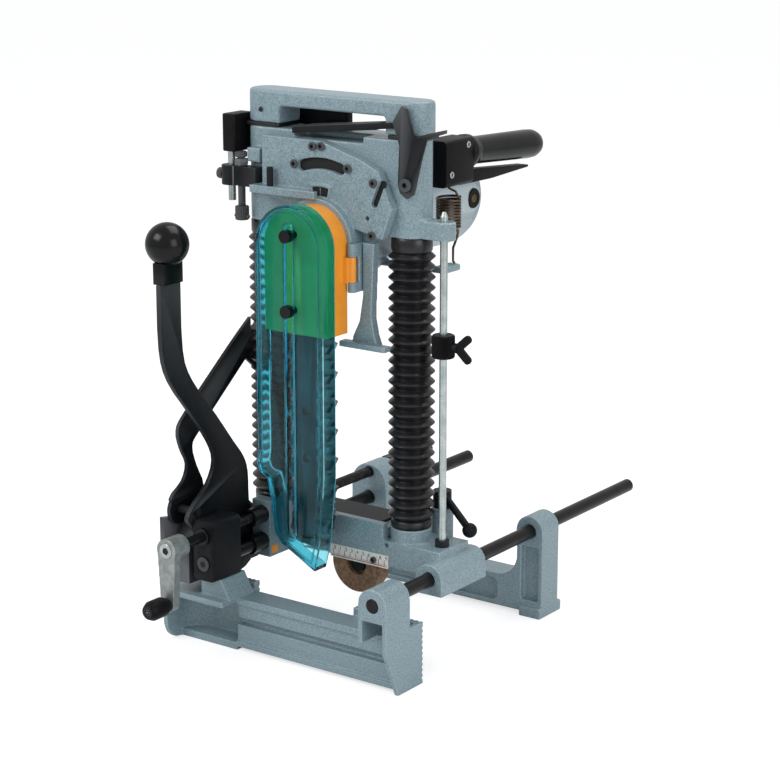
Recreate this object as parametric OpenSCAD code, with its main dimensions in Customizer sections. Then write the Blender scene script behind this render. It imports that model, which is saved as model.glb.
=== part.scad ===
// Chain mortiser: a plunging chain head on two columns, on a carriage that slides between two clamping jaws.
// X runs along the jaws, Y from the front jaw to the rear jaw and Z up; sizes are in millimetres.
// The origin is on the ground under the middle of the machine, with the chain fully raised.

/* [Clamping jaws] */
// Mean overhang of the jaws beyond the guide bars
jaw_end_l = 38; // [34:1:44]
// Depth of the front jaw from its feet to its clamping face
jaw_depth = 43; // [40:0.5:50]
// Height of the serrated pads
pad_h = 67; // [60:0.5:70]
// Length of each serrated pad
pad_l = 82; // [70:1:95]
// Spacing of the serrations
tooth_pitch = 6; // [4:0.25:8]
// Depth of the serrations
tooth_depth = 2; // [1:0.25:2.5]
// Top of the long rail of the front jaw
rail_z = 58; // [54:0.5:62]
// Clear opening between the jaws as drawn
jaw_opening = 229; // [215:1:245]
// Thickness of the rear jaw's uprights
rear_upright = 34; // [28:0.5:40]
// Wall of the open castings
casting_wall = 5; // [4:0.25:7]

/* [Guide bars and lead screw] */
// Distance between the two guide bars
bar_gap = 220; // [212:1:226]
// Diameter of the guide bars
bar_d = 15; // [12:0.5:16]
// Height of the guide bars above the ground
bar_z = 98.5; // [95:0.5:100]
// Length of the right guide bar
bar_l = 510; // [470:5:530]
// Length of the left guide bar
left_bar_l = 501; // [470:1:520]
// Diameter of the lead screw
screw_d = 12; // [10:0.5:13]
// Length of the lead screw
screw_l = 467; // [440:1:490]
// Distance from the crank's hub to its knob
crank_throw = 58; // [50:1:62]
// Diameter of the crank's knob
crank_knob_d = 21; // [16:0.5:23]

/* [Columns and bellows] */
// Distance between the two columns
col_gap = 184; // [180:1:188]
// Diameter of the columns
col_d = 30; // [26:0.5:31]
// Bore of the columns, which holds the lifting springs
col_bore = 20; // [16:0.5:22]
// Distance of the columns behind the front edge of the feet
col_back = 118; // [116:0.5:122]
// Height of the seats of the columns on the carriage
seat_z = 137; // [136:0.5:142]
// Outside diameter of the bellows
bellows_d = 49; // [46:0.5:49.5]
// Wall of the bellows
bellows_wall = 1.6; // [1:0.1:2]
// Number of ribs of each bellows
ribs = 26; // [18:1:32]
// Number of turns of each lifting spring
lift_turns = 22; // [16:1:26]
// Wire of the lifting springs
lift_wire = 2.4; // [1.8:0.1:3]

/* [Head] */
// Underside of the head's column bosses
head_z = 447; // [440:1:450]
// Height of the head's column bosses
head_h = 100; // [96:1:104]
// Radius of the head's column bosses
head_boss_r = 21; // [19:0.5:23]
// Radius of the motor housing
motor_r = 58; // [50:0.5:60]
// Length of the motor housing
motor_l = 170; // [150:1:180]
// Height of the carry handle above the head's gasket
handle_h = 35; // [32:0.5:40]
// Width of the carry handle's bar, front to back
handle_w = 38; // [30:0.5:42]
// Module of the gears
gear_module = 1; // [0.9:0.05:1]
// Teeth of the motor pinion
pinion_teeth = 12; // [10:1:13]
// Teeth of the gear on the output shaft
gear_teeth = 34; // [30:1:36]

/* [Chain and guide bar] */
// Number of links
links = 46; // [40:2:52]
// Distance from the sprocket axis to the centre of the bar's nose
bar_reach = 304; // [290:1:306]
// Radius of the pin line round the sprocket and the nose
pin_r = 17; // [16:0.25:18]
// Width of the chain across its rows of plates
chain_w = 24; // [18:0.5:26]
// Distance of the chain's middle behind the front edge of the feet
chain_back = 69; // [68:0.25:69.5]
// Height of the cutting teeth above the pin line
cutter_h = 7.5; // [6:0.25:8]

/* [Covers and guard] */
// Half width of the hinged covers
cover_r = 40; // [38:0.5:41]
// Straight length of the covers below their round top
cover_drop = 91; // [84:1:96]
// Depth of the green front cover
front_cover_t = 15; // [12:0.5:15.5]
// Depth of the orange rear cover
rear_cover_t = 21; // [18:0.5:21]
// Wall of the covers
cover_wall = 3.5; // [2.5:0.25:4]
// Wall of the clear guard
guard_wall = 3; // [2:0.25:3.5]
// Depth of the clear guard
guard_t = 20; // [14:0.5:21]
// Width of the guard's slot
slot_w = 10; // [8:0.25:12]
// Length of the guard's slot
slot_l = 335; // [320:1:340]

/* [Lever] */
// Distance from the lever's pivot to the top of its arm
lever_l = 313; // [300:1:330]
// Thickness of the lever's plate
lever_t = 5.6; // [4:0.1:6]
// Diameter of the lever's ball
ball_d = 45; // [38:0.5:48]
// Diameter of the lever's pivot pin
pivot_d = 12; // [8:0.5:14]
// Thickness of the link
link_t = 4.5; // [3:0.1:4.8]

/* [Depth stop] */
// Diameter of the depth rod
rod_d = 8; // [6:0.25:9]
// Height of the depth rod's top above its seat
rod_l = 354; // [350:1:370]
// Diameter of the stopper
stopper_d = 24; // [20:0.5:28]
// Height of the stopper
stopper_h = 24; // [18:0.5:28]
// Height of the stopper above its rod's seat, as drawn
stopper_up = 203; // [190:1:210]

/* [Hidden] */
$fn = 48;
// Shared clearances and the overrun of every cut
fit = 0.05;
slide = 0.1;
gap = 0.3;
over = 1;
// Places of the machine's middle: the guide bars and the columns aren't centred on the jaws
machine_x = -1;
jaw_front_y = -190;
bar_mid_x = 20.5;
col_mid_x = -12;
jaw_w = bar_gap + 2 * jaw_end_l;
jaw_x = jaw_w / 2;
pad_x = jaw_x - pad_l;
bar_right_x = bar_mid_x + bar_gap / 2;
bar_left_x = bar_mid_x - bar_gap / 2;
col_right_x = col_mid_x + col_gap / 2;
col_left_x = col_mid_x - col_gap / 2;
// Front jaw: the beam's panels, lip and groove, and the ends
beam_back = 35;
rail_front = 5;
rail_lip_h = 7;
panel_front = 8;
low_panel_front = 6;
groove_z = 28;
groove_h = 8;
groove_deep = 8;
lip_front = 3;
lip_z = 4;
lip_h = 6;
boss_front = -21.5;
boss_back = 20;
jaw_boss_r = jaw_x - bar_right_x;
end_nose_z = 50;
left_roof_z = 60;
left_roof_t = 6;
left_floor_h = 8;
scoop_r = 28;
scoop_x = -115;
scoop_y = -2;
end_round_r = 22;
post_right_x = -64;
post_top_right_x = -76;
post_front = -10;
post_back = 30;
// Block that carries the left bar and the lead screw
bearing_z = 80;
bearing_h = 66;
bearing_left_x = -103;
bearing_right_x = -74;
bearing_back = 22;
corner_r = 5;
screw_z = 129;
ring_r = 10.5;
ring_t = 3;
// Lead screw, crank and knob
screw_front = -72;
screw_collar_d = 18;
screw_collar_t = 3;
crank_hub_r = 12.5;
crank_hub_l = 24;
crank_hub_front = -80;
crank_end_r = 9;
crank_arm_t = 10;
socket_d = 8;
socket_deep = 5;
knob_stem_d = 7;
knob_l = 30;
// Rear jaw
rear_front = jaw_depth + jaw_opening;
rear_foot_front = rear_front - 4;
rear_foot_back = rear_front + rear_upright + 7;
rear_foot_h = 12;
rear_foot_l = 28;
rear_beam_z = 4;
rear_beam_top = 42;
rear_upright_w = 34;
arch_r = 26;
rear_panel_deep = 7;
rear_rim = 6;
rear_left_r = 24.5;
rear_left_z = 114;
rear_left_foot_x = -120;
nut_af = 19;
nut_w = 14;
// Carriage casting
boss_w = 33;
car_front = 77;
car_back = 160;
car_boss_z = 82;
car_top_z = 122;
car_rear = 150;
bridge_front = 96;
bridge_t = 8;
bridge_z = 94;
bridge_top = 140;
bridge_left_x = -79;
block_left_x = 58;
rod_pad_x = 131;
socket_r = 21.5;
spigot_d = 14;
spigot_l = 27;
left_boss_left_x = -103;
left_boss_right_x = -79;
left_boss_z = 81;
left_boss_top = 144;
left_boss_back = 92;
deck_z = 124;
deck_t = 10;
rear_web_t = 8;
oil_hole_d = 5;
lock_x = 92;
lock_y = 158;
lock_r = 12;
lock_top = 150;
sleeve_d = 20;
sleeve_l = 22;
strap_t = 3;
strap_inset = 12;
// Scale, chip disc and their screws
scale_x = -10;
scale_l = 76;
scale_z = 92;
scale_h = 14;
scale_t = 1.2;
scale_screw_x = 48;
scale_screw_d = 7;
scale_screw_h = 3;
disc_x = 18;
disc_z = 86;
disc_r = 31.6;
disc_t = 16.5;
disc_hole_d = 25;
disc_bolt_d = 10;
disc_head_d = 18;
disc_head_h = 6;
// Columns and their tops
col_l = 325;
cuff_h = 17;
foot_cuff_h = 10;
rib_deep = 5.6;
head_bore_top = 4;
lift_seat = 4;
// Depth rod and its lug
rod_x_pos = 119.5;
rod_tip = 5;
rod_nut_d = 15;
rod_nut_h = 7;
rod_sunk = 10;
lug_right_x = 132;
lug_w = 20;
lug_h = 19;
wing_l = 28;
wing_w = 26;
wing_t = 4;
wing_stem_d = 6;
// Lock lever
lock_hub_r = 10;
lock_hub_h = 18;
lock_rod_d = 8;
lock_arm_share = 0.85;
lock_ball_d = 16;
lock_ball_x = 134;
lock_ball_y = 148;
lock_ball_z = 134;
// Head casting, gear case and cover
case_front = 98;
case_back = 150;
case_top = head_z + head_h;
cover_front_y = 86;
collar_front_y = chain_back + 8;
spr_x = col_mid_x;
spr_z = head_z - 10;
collar_r = 45;
collar_bore_r = 29;
plate_w = 89;
plate_h = 103;
plate_shares = [[-0.876, 0.42], [-0.876, 1], [-0.011, 1], [0.562, 0.854], [0.81, 0.757], [1, 0.4], [0.865,
    0.087]];
case_shares = [[-1.034, 0.1], [-1.034, 1.068], [1.034, 1.068], [1.034, 0.1], [0.72, 0.1],
    [0.6, -0.16], [-0.6, -0.16], [-0.72, 0.1]];
ledge_z = 481;
ledge_h = 8;
ledge_out = 13;
arc_slot_r = 80;
arc_slot_w = 12;
arc_slot_turn = 18;
window_w = 21;
window_h = 11;
window_z = 487;
window_rim = 2.5;
cam_slot_w = 8;
cam_slot_l = 22;
cam_slot_x = 60;
cam_slot_z = 492;
cam_slot_turn = 23;
face_deep = 5;
face_hole_d = 5;
face_hole_x = 46.5;
face_hole_z = 466;
screw_head_d = 9;
screw_head_h = 3;
cover_screw_places = [[-46, 514], [23, 515], [-22, 534], [-11, 535], [55, 503], [53, 449]];
front_pin_x = -74;
front_pin_d = 7;
front_pin_l = 20;
gear_cavity_r = 20;
pinion_cavity_r = 9;
gear_t = 10;
gear_back = 102;
shaft_d = 12;
shaft_front = 60;
shaft_back = 130;
axis_gap = gear_module * (pinion_teeth + gear_teeth) / 2;
motor_z = spr_z + axis_gap;
saddle_deep = 7;
left_lug_x = -113;
left_lug_z = 510;
left_lug_h = 15;
left_lug_l = 17;
hanger_w = 22;
hanger_t = 9;
hanger_front = 145;
eye_d = 14;
pin2_d = 6;
spring_arm_z = 405;
spring_arm_h = 7;
// Carry handle and its gasket
gasket_t = 4;
handle_left_x = -125;
handle_right_x = 104;
leg_left_w = 48;
leg_right_w = 45;
grip_t = 17;
gasket_inset = 2;
handle_hole_d = 4.5;
// Motor
motor_wall = 4;
motor_rear_r = 24;
stator_bore_r = 29;
stator_l = 80;
stator_back = 175;
rotor_r = 27;
rotor_l = 74;
rotor_shaft_d = 10;
commutator_r = 14;
commutator_l = 22;
brush_d = 22;
brush_t = 8;
brush_out = 1.2;
brush_back = 282;
// Switch housing, grip and trigger
switch_x = 68;
switch_w = 32;
switch_back = case_back;
switch_l = 50;
switch_z = 493;
switch_h = 48;
grip_x = 84;
grip_d = 31;
grip_l = 142;
grip_front = switch_back + switch_l + over;
grip_z = 524;
grip_fall = 3;
trigger_w = 14;
trigger_front = 188;
trigger_h = 14;
trigger_l = 132;
trigger_pin_d = 4;
trigger_shares = [[0, -0.63], [0, -1.06], [0.45, -1.08], [1, -0.97], [1, -0.895], [0.2, -0.63]];
trigger_pin_l = 24;
// Spring behind the right column boss
hook_x = 88;
hook_y = 172;
hook_top = switch_z;
hook_bottom = 412;
hook_r = 12.5;
hook_wire = 2.2;
hook_turns = 9;
// Oil tank and adjuster on the left
tank_x = -142;
tank_w = 16.6;
tank_y = 84;
tank_l = 32;
tank_z = 519;
tank_h = 40;
adj_rod_x = -134;
adj_rod_y = 90;
adj_rod_d = 8;
adj_rod_z = 467;
clamp_z = 484;
clamp_h = 21;
clamp_r = 11;
clamp_left_x = -146;
clamp_right_x = -97;
clamp_t = 14;
adj_screw_x = -121;
adj_screw_d = 8;
adj_screw_z = 462;
adj_screw_l = 56;
adj_knob_d = 15;
adj_knob_h = 15;
adj_knob_z = 447;
side_screw_d = 12;
side_screw_l = 7;
// Latch plate and bar on the right
latch_y = 91;
latch_t = 3.5;
latch_x = 92;
latch_z = 504;
latch_h = 92;
latch_shares = [[-0.09, -0.1], [0, -0.16], [0.09, -0.1], [0.2, 0.33], [0.26, 0.52], [0.51, 0.6], [0.51, 0.64],
    [0.27, 0.58], [0.09, 0.52], [-0.01, 0.83], [-0.07, 0.86], [-0.19, 0.67], [-0.1, 0.42], [-0.12, 0]];
latch_pin_d = 7;
latch_head_d = 13;
latch_head_h = 4;
latch_hole_deep = 6;
latch_bar_left_x = -56;
latch_bar_left_z = 544;
latch_bar_right_z = 560;
latch_bar_h = 6;
latch_bar_w = 14;
latch_bar_t = 3.5;
latch_bar_wide_l = 108;
// Chain links
rows = 5;
row_t = chain_w / rows;
chain_front = chain_back - chain_w / 2;
rivet_d = 4.4;
rivet_h = 0.8;
link_in = 2.6;
link_out = 3.2;
tip_share = 0.72;
gullet_share = 0.3;
sprocket_teeth = 7;
sprocket_r = 11.8;
sprocket_root_r = 8.6;
nose_z = spr_z - bar_reach;
bar_half = 13.5;
nose_r = 11.9;
bar_top_gap = 16;
bar_foot_r = 9;
chute_w = 58;
chute_h = 110;
chute_x = 15;
chute_z = 330;
chute_t = 10;
chute_foot_h = 6;
chute_foot_front = 79;
chute_foot_back = 90.5;
chute_shares = [[0.42, 1], [0.66, 1], [0.6, 0.3], [0.67, 0.12], [0.76, 0], [0.16, 0], [0.2, 0.1], [0.34, 0.25],
    [0.42, 0.5]];
// Covers, hinge, knobs and guard
front_cover_y = chain_back + 8 - rear_cover_t - front_cover_t;
rear_cover_y = chain_back + 8 - rear_cover_t;
cover_bottom = spr_z - cover_drop;
hinge_x = 33;
hinge_y = chain_back + 9;
hinge_r = 4.5;
hinge_pin_d = 3;
hinge_z = 389;
hinge_h = 51;
lug_low_h = 11;
lug_high_h = 14;
knob_d = 13.6;
knob_t = 7;
knob_top_z = 450;
knob_low_z = 372;
stem_d = 9.4;
guard_y = front_cover_y - 10;
guard_r = cover_r + 4;
guard_left_x = spr_x - guard_r;
guard_tip_z = 97;
slot_z = 127;
guard_w = 2 * guard_r;
guard_h = spr_z - guard_tip_z;
guard_shares = [[0, 0.35], [-0.02, 0.31], [0.02, 0.285], [0.13, 0.27], [0.19, 0.2], [0.2, 0.17], [0.24, 0.1],
    [0.34, 0.068], [0.84, 0], [0.92, 0.08], [0.955, 0.185], [1, 0.3]];
// Lever, bracket and link
pivot_y = 57.5;
pivot_z = 90;
lever_x = -109.6;
lever_shares = [[-0.382, 1], [-0.379, 0.786], [-0.343, 0.671], [-0.244, 0.543], [-0.158, 0.428], [-0.129,
    0.351],
    [-0.168, 0.275], [-0.262, 0.2], [-0.25, 0.145], [-0.062, -0.038], [0, -0.073], [0.07, -0.02], [0.05, 0.173],
    [0.046, 0.275], [0.024, 0.335], [-0.027, 0.399], [-0.117, 0.514], [-0.232, 0.655], [-0.276, 0.767],
        [-0.28, 1]];
pin1_y = -10.6;
pin1_z = 150;
pin1_d = 9;
pin2_y = 156;
pin2_z = 348;
link_x = -133.8;
link_l = norm([pin2_y - pin1_y, pin2_z - pin1_z]);
link_end_r = 15.5;
link_foot_r = 17;
link_neck_w = 28;
link_neck_share = 0.3;
link_shares = [[0.473, 0.72], [0.336, 0.62], [0.057, 0.4], [-0.002, 0.33], [0.014, 0.251], [0.049, 0.177],
    [0.022, 0.11], [-0.056, 0.051], [0, -0.03], [0.1, -0.02], [0.15, 0.063], [0.108, 0.161], [0.085, 0.247],
    [0.132, 0.302], [0.332, 0.463], [0.473, 0.575]];
ferrule_d = 29;
ferrule_h = 22;
bracket_x = -128.5;
bracket_t = 18.5;
bracket_z = 72;
bracket_h = 78;
bracket_front = -21;
bracket_back = 95;
bracket_cut = 26;
cheek_x = -141;
cheek_t = 6;
cheek_front = -31;
bridge_low = 38;
pad_back_x = -103;
bracket_bolt_d = 14;
bracket_bolt_h = 2;
bracket_bolt_shares = [[0.181, 0.436], [0.267, 0.744]];
bracket_bolt_places = spread(bracket_bolt_shares, bracket_back - bracket_front, bracket_h, bracket_front,
    bracket_z);
pad_l_y = 13;
// Colours
casting = "lightslategray";
black_paint = "#1d1d20";
steel = "silver";

// Shared shapes
module placed(c) color(c) translate([machine_x, jaw_front_y, 0]) children();
module plate_x(x, t) translate([x, 0, 0]) rotate([90, 0, 90]) linear_extrude(t) children();
module plate_y(y, t) translate([0, y + t, 0]) rotate([90, 0, 0]) linear_extrude(t) children();
module plate_z(z, t) translate([0, 0, z]) linear_extrude(t) children();
module rod_x(x, y, z, l, d) translate([x, y, z]) rotate([0, 90, 0]) cylinder(d = d, h = l);
module rod_y(x, y, z, l, d) translate([x, y, z]) rotate([-90, 0, 0]) cylinder(d = d, h = l);
module rod_z(x, y, z, l, d) translate([x, y, z]) cylinder(d = d, h = l);
module block(x0, x1, y0, y1, z0, z1) translate([x0, y0, z0]) cube([x1 - x0, y1 - y0, z1 - z0]);
module round_rect(w, h, r) {
    translate([r, 0]) square([w - 2 * r, h]);
    translate([0, r]) square([w, h - 2 * r]);
    for (x = [r, w - r], y = [r, h - r]) translate([x, y]) circle(r);
}
function spread(shares, w, h, x, y) = [for (s = shares) [x + s[0] * w, y + s[1] * h]];
// A smooth closed or open line through a few points
function between(a, b, c, d, t) =
    (2 * b + (c - a) * t + (2 * a - 5 * b + 4 * c - d) * t * t + (3 * b - a - 3 * c + d) * t * t * t) / 2;
function smooth(p, n) = concat([for (i = [0:len(p) - 2], k = [0:n - 1])
    between(p[max(i - 1, 0)], p[i], p[i + 1], p[min(i + 2, len(p) - 1)], k / n)], [p[len(p) - 1]]);
// The same outline moved inward by d, with its corners kept sharp
function unit(v) = v / norm(v);
function side_normal(a, b) = let (u = unit(b - a)) [-u[1], u[0]];
function inset(p, d) = [for (i = [0:len(p) - 1]) let (
    n1 = side_normal(p[(i + len(p) - 1) % len(p)], p[i]),
    n2 = side_normal(p[i], p[(i + 1) % len(p)]),
    m = unit(n1 + n2)) p[i] + m * d / max(m * n1, 0.4)];
// An arc of points round c
function arc(c, r, a0, a1, n) = [for (i = [0:n]) let (a = a0 + (a1 - a0) * i / n) c + r * [cos(a), sin(a)]];
// An unbroken tube along a coil about an upright axis: each point is [radius, angle, height]
function coil_point(c) = [c[0] * cos(c[1]), c[0] * sin(c[1]), c[2]];
module coil_tube(c, wire_r) {
    p = [for (q = c) coil_point(q)];
    last = len(p) - 1;
    rings = [for (i = [0:last]) let (
        t = unit(p[min(i + 1, last)] - p[max(i - 1, 0)]),
        out = [cos(c[i][1]), sin(c[i][1]), 0],
        side = unit(cross(t, out))) [for (k = [0:5]) p[i] + wire_r * (cos(60 * k) * out + sin(60 * k) * side)]];
    polyhedron([for (r = rings) each r], concat(
        [[for (k = [0:5]) k]],
        [for (i = [0:last - 1], k = [0:5]) each [
            [i * 6 + k, (i + 1) * 6 + k, i * 6 + (k + 1) % 6],
            [i * 6 + (k + 1) % 6, (i + 1) * 6 + k, (i + 1) * 6 + (k + 1) % 6]]],
        [[for (k = [5:-1:0]) last * 6 + k]]));
}
// The stations of a spring with upright ends one wire long
function spring_line(r, turns, z0, z1, wire) = concat([[r, 0, z0]],
    [for (i = [0:turns * 8]) [r, i * 45, z0 + wire + (z1 - z0 - 2 * wire) * i / (turns * 8)]],
    [[r, turns * 360, z1]]);

// Front jaw
module serration(x0, l, y) {
    side = tooth_depth * sqrt(2);
    for (z = [tooth_pitch:tooth_pitch:pad_h - tooth_depth])
        translate([x0 + l / 2, y, z]) rotate([45, 0, 0]) cube([l + 2 * over, side, side], center = true);
    for (x = [tooth_pitch:tooth_pitch:l - tooth_depth])
        translate([x0 + x, y, pad_h / 2]) rotate([0, 0, 45]) cube([side, side, pad_h + 2 * over],
            center = true);
}
module beam_section() polygon([[rail_front, rail_z], [beam_back, rail_z], [beam_back, lip_z], [lip_front,
    lip_z],
    [lip_front, lip_z + lip_h], [low_panel_front, lip_z + lip_h], [low_panel_front, groove_z],
    [low_panel_front + groove_deep, groove_z], [low_panel_front + groove_deep, groove_z + groove_h],
    [panel_front, groove_z + groove_h], [panel_front, rail_z - rail_lip_h], [rail_front, rail_z - rail_lip_h]]);
module jaw_left_end() difference() {
    plate_x(-jaw_x, pad_l) polygon(concat([[jaw_depth, 0], [jaw_depth, left_roof_z], [boss_front, left_roof_z]],
        arc([boss_front + end_round_r, end_round_r], end_round_r, 180, 270, 6)));
    translate([scoop_x, scoop_y, left_floor_h]) cylinder(r = scoop_r,
        h = left_roof_z - left_roof_t - left_floor_h);
    block(scoop_x, -pad_x + over, boss_front - over, scoop_y + scoop_r, left_floor_h,
        left_roof_z - left_roof_t);
    block(scoop_x - scoop_r, -pad_x + over, boss_front - over, scoop_y, left_floor_h,
        left_roof_z - left_roof_t);
    block(-jaw_x + casting_wall, -pad_x + over, boss_front - over, lip_front, -over, left_floor_h + over);
}
module jaw_right_end() {
    plate_x(jaw_x - casting_wall, casting_wall) polygon([[0, 0], [jaw_depth, 0], [jaw_depth, pad_h],
        [boss_back, pad_h], [boss_back, bar_z], [boss_front, bar_z], [boss_front, end_nose_z]]);
    rod_y(bar_right_x, boss_front, bar_z, boss_back - boss_front, 2 * jaw_boss_r);
    plate_y(boss_front, boss_back - boss_front) difference() {
        translate([bar_right_x - jaw_boss_r, rail_z - over]) square([2 * jaw_boss_r, bar_z - rail_z + over]);
        translate([bar_right_x - jaw_boss_r + casting_wall, rail_z - 2 * over])
            square([2 * jaw_boss_r, bar_z - jaw_boss_r - rail_z + 2 * over]);
    }
}
module front_jaw() placed(casting) difference() {
    union() {
        plate_x(-pad_x - over, jaw_x + pad_x) beam_section();
        for (x = [-jaw_x, pad_x]) block(x, x + pad_l, beam_back - over, jaw_depth, 0, pad_h);
        jaw_left_end();
        jaw_right_end();
        plate_y(post_front, post_back - post_front) polygon([[bearing_left_x, left_roof_z - over],
            [post_right_x, left_roof_z - over], [post_top_right_x, bearing_z], [bearing_left_x, bearing_z]]);
    }
    for (x = [-jaw_x, pad_x]) serration(x, pad_l, jaw_depth);
    rod_y(bar_right_x, boss_front - over, bar_z, boss_back - boss_front + 2 * over, bar_d + 2 * fit);
}
module guide_bar(x, y, l) translate([x, y, bar_z]) rotate([-90, 0, 0]) rotate_extrude()
    polygon([[0, 0], [bar_d / 2 - over, 0], [bar_d / 2, over], [bar_d / 2, l - over], [bar_d / 2 - over,
        l], [0, l]]);
module guide_bars() placed(black_paint) {
    guide_bar(bar_right_x, boss_front, bar_l);
    guide_bar(bar_left_x, boss_front, left_bar_l);
}
module screw_bearing() placed(black_paint) difference() {
    union() {
        plate_y(boss_front, bearing_back - boss_front) translate([bearing_left_x, bearing_z])
            round_rect(bearing_right_x - bearing_left_x, bearing_h, corner_r);
        for (z = [bar_z, screw_z]) rod_y(bar_left_x, bearing_back, z, ring_t, 2 * ring_r);
    }
    rod_y(bar_left_x, boss_front - over, bar_z, bearing_back - boss_front + ring_t + 2 * over, bar_d + 2 * fit);
    rod_y(bar_left_x, boss_front - over, screw_z, bearing_back - boss_front + ring_t + 2 * over,
        screw_d + 2 * slide);
}

// Lead screw and crank
module lead_screw() placed(steel) {
    rod_y(bar_left_x, screw_front, screw_z, screw_l, screw_d);
    rod_y(bar_left_x, boss_front - gap - screw_collar_t, screw_z, screw_collar_t, screw_collar_d);
    rod_y(bar_left_x, bearing_back + ring_t + gap, screw_z, screw_collar_t, screw_collar_d);
}
module tapered_arm(r1, r2, d) {
    lean = asin((r1 - r2) / d);
    w1 = r1 - gap;
    w2 = r2 - gap;
    circle(r1);
    translate([0, -d]) circle(r2);
    polygon([[-w1 * cos(lean), -w1 * sin(lean)], [w1 * cos(lean), -w1 * sin(lean)],
        [w2 * cos(lean), -d - w2 * sin(lean)], [-w2 * cos(lean), -d - w2 * sin(lean)]]);
}
module crank_arm() placed(steel) difference() {
    union() {
        plate_y(crank_hub_front, crank_arm_t) translate([bar_left_x, screw_z])
            tapered_arm(crank_hub_r - gap, crank_end_r, crank_throw);
        rod_y(bar_left_x, crank_hub_front, screw_z, crank_hub_l, 2 * crank_hub_r);
        rod_y(bar_left_x, crank_hub_front - knob_l - over, screw_z - crank_throw, knob_l + 2 * over,
            knob_stem_d);
    }
    rod_y(bar_left_x, screw_front, screw_z, crank_hub_l, screw_d);
    rod_y(bar_left_x, crank_hub_front - over, screw_z, socket_deep + over, socket_d);
}
knob_shares = [[0, 0], [0.36, 0], [0.5, 0.2], [0.5, 0.72], [0.33, 1], [0, 1]];
module crank_knob() placed(black_paint) difference() {
    translate([bar_left_x, crank_hub_front - gap - knob_l, screw_z - crank_throw]) rotate([-90, 0, 0])
        rotate_extrude() polygon(spread(knob_shares, crank_knob_d, knob_l, 0, 0));
    rod_y(bar_left_x, crank_hub_front - knob_l - 2 * over, screw_z - crank_throw, knob_l + 3 * over,
        knob_stem_d + 2 * slide);
}

// Rear jaw
module rear_outline() difference() {
    union() {
        translate([jaw_x - rear_upright_w, rear_beam_z]) square([rear_upright_w, bar_z - rear_beam_z]);
        translate([bar_right_x, bar_z]) circle(jaw_boss_r);
        translate([rear_left_foot_x, rear_beam_z]) square([jaw_x - rear_left_foot_x,
            rear_beam_top - rear_beam_z]);
        translate([bar_left_x, rear_left_z]) circle(rear_left_r);
        translate([bar_left_x - rear_left_r, rear_beam_z]) square([2 * rear_left_r, rear_left_z - rear_beam_z]);
        difference() {
            translate([jaw_x - rear_upright_w - arch_r, rear_beam_top - over]) square(arch_r + over);
            translate([jaw_x - rear_upright_w - arch_r, rear_beam_top + arch_r]) circle(arch_r);
        }
        difference() {
            translate([bar_left_x + rear_left_r - over, rear_beam_top - over]) square(arch_r + over);
            translate([bar_left_x + rear_left_r + arch_r, rear_beam_top + arch_r]) circle(arch_r);
        }
    }
}
module rear_jaw() placed(casting) difference() {
    union() {
        plate_y(rear_front, rear_upright) rear_outline();
        for (x = [rear_left_foot_x, jaw_x - rear_foot_l])
            block(x, x + rear_foot_l, rear_foot_front, rear_foot_back, 0, rear_foot_h);
    }
    plate_y(rear_front - over, rear_panel_deep + over) {
        translate([bar_left_x + rear_left_r, rear_beam_z + rear_rim]) round_rect(
            jaw_x - rear_upright_w - arch_r - bar_left_x - rear_left_r,
                rear_beam_top - rear_beam_z - 2 * rear_rim, rear_rim);
        translate([jaw_x - rear_upright_w + rear_rim, rear_foot_h + rear_rim])
            square([rear_upright_w - 2 * rear_rim, bar_z - jaw_boss_r - rear_foot_h - rear_rim]);
        translate([bar_left_x - rear_left_r + rear_rim, rear_foot_h + rear_rim])
            square([2 * rear_left_r - 2 * rear_rim, bar_z - jaw_boss_r - rear_foot_h - rear_rim]);
    }
    rod_y(bar_right_x, rear_front - over, bar_z, rear_upright + 2 * over, bar_d + 2 * slide);
    rod_y(bar_left_x, rear_front - over, bar_z, rear_upright + 2 * over, bar_d + 2 * slide);
    rod_y(bar_left_x, rear_front - over, screw_z, rear_upright + 2 * over, screw_d + 2 * slide);
}
module screw_nut() placed(steel) difference() {
    plate_y(rear_front + rear_upright, nut_w) translate([bar_left_x, screw_z])
        circle(d = nut_af / cos(30), $fn = 6);
    rod_y(bar_left_x, rear_front + rear_upright - over, screw_z, nut_w + 2 * over, screw_d + 2 * slide);
}

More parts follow.
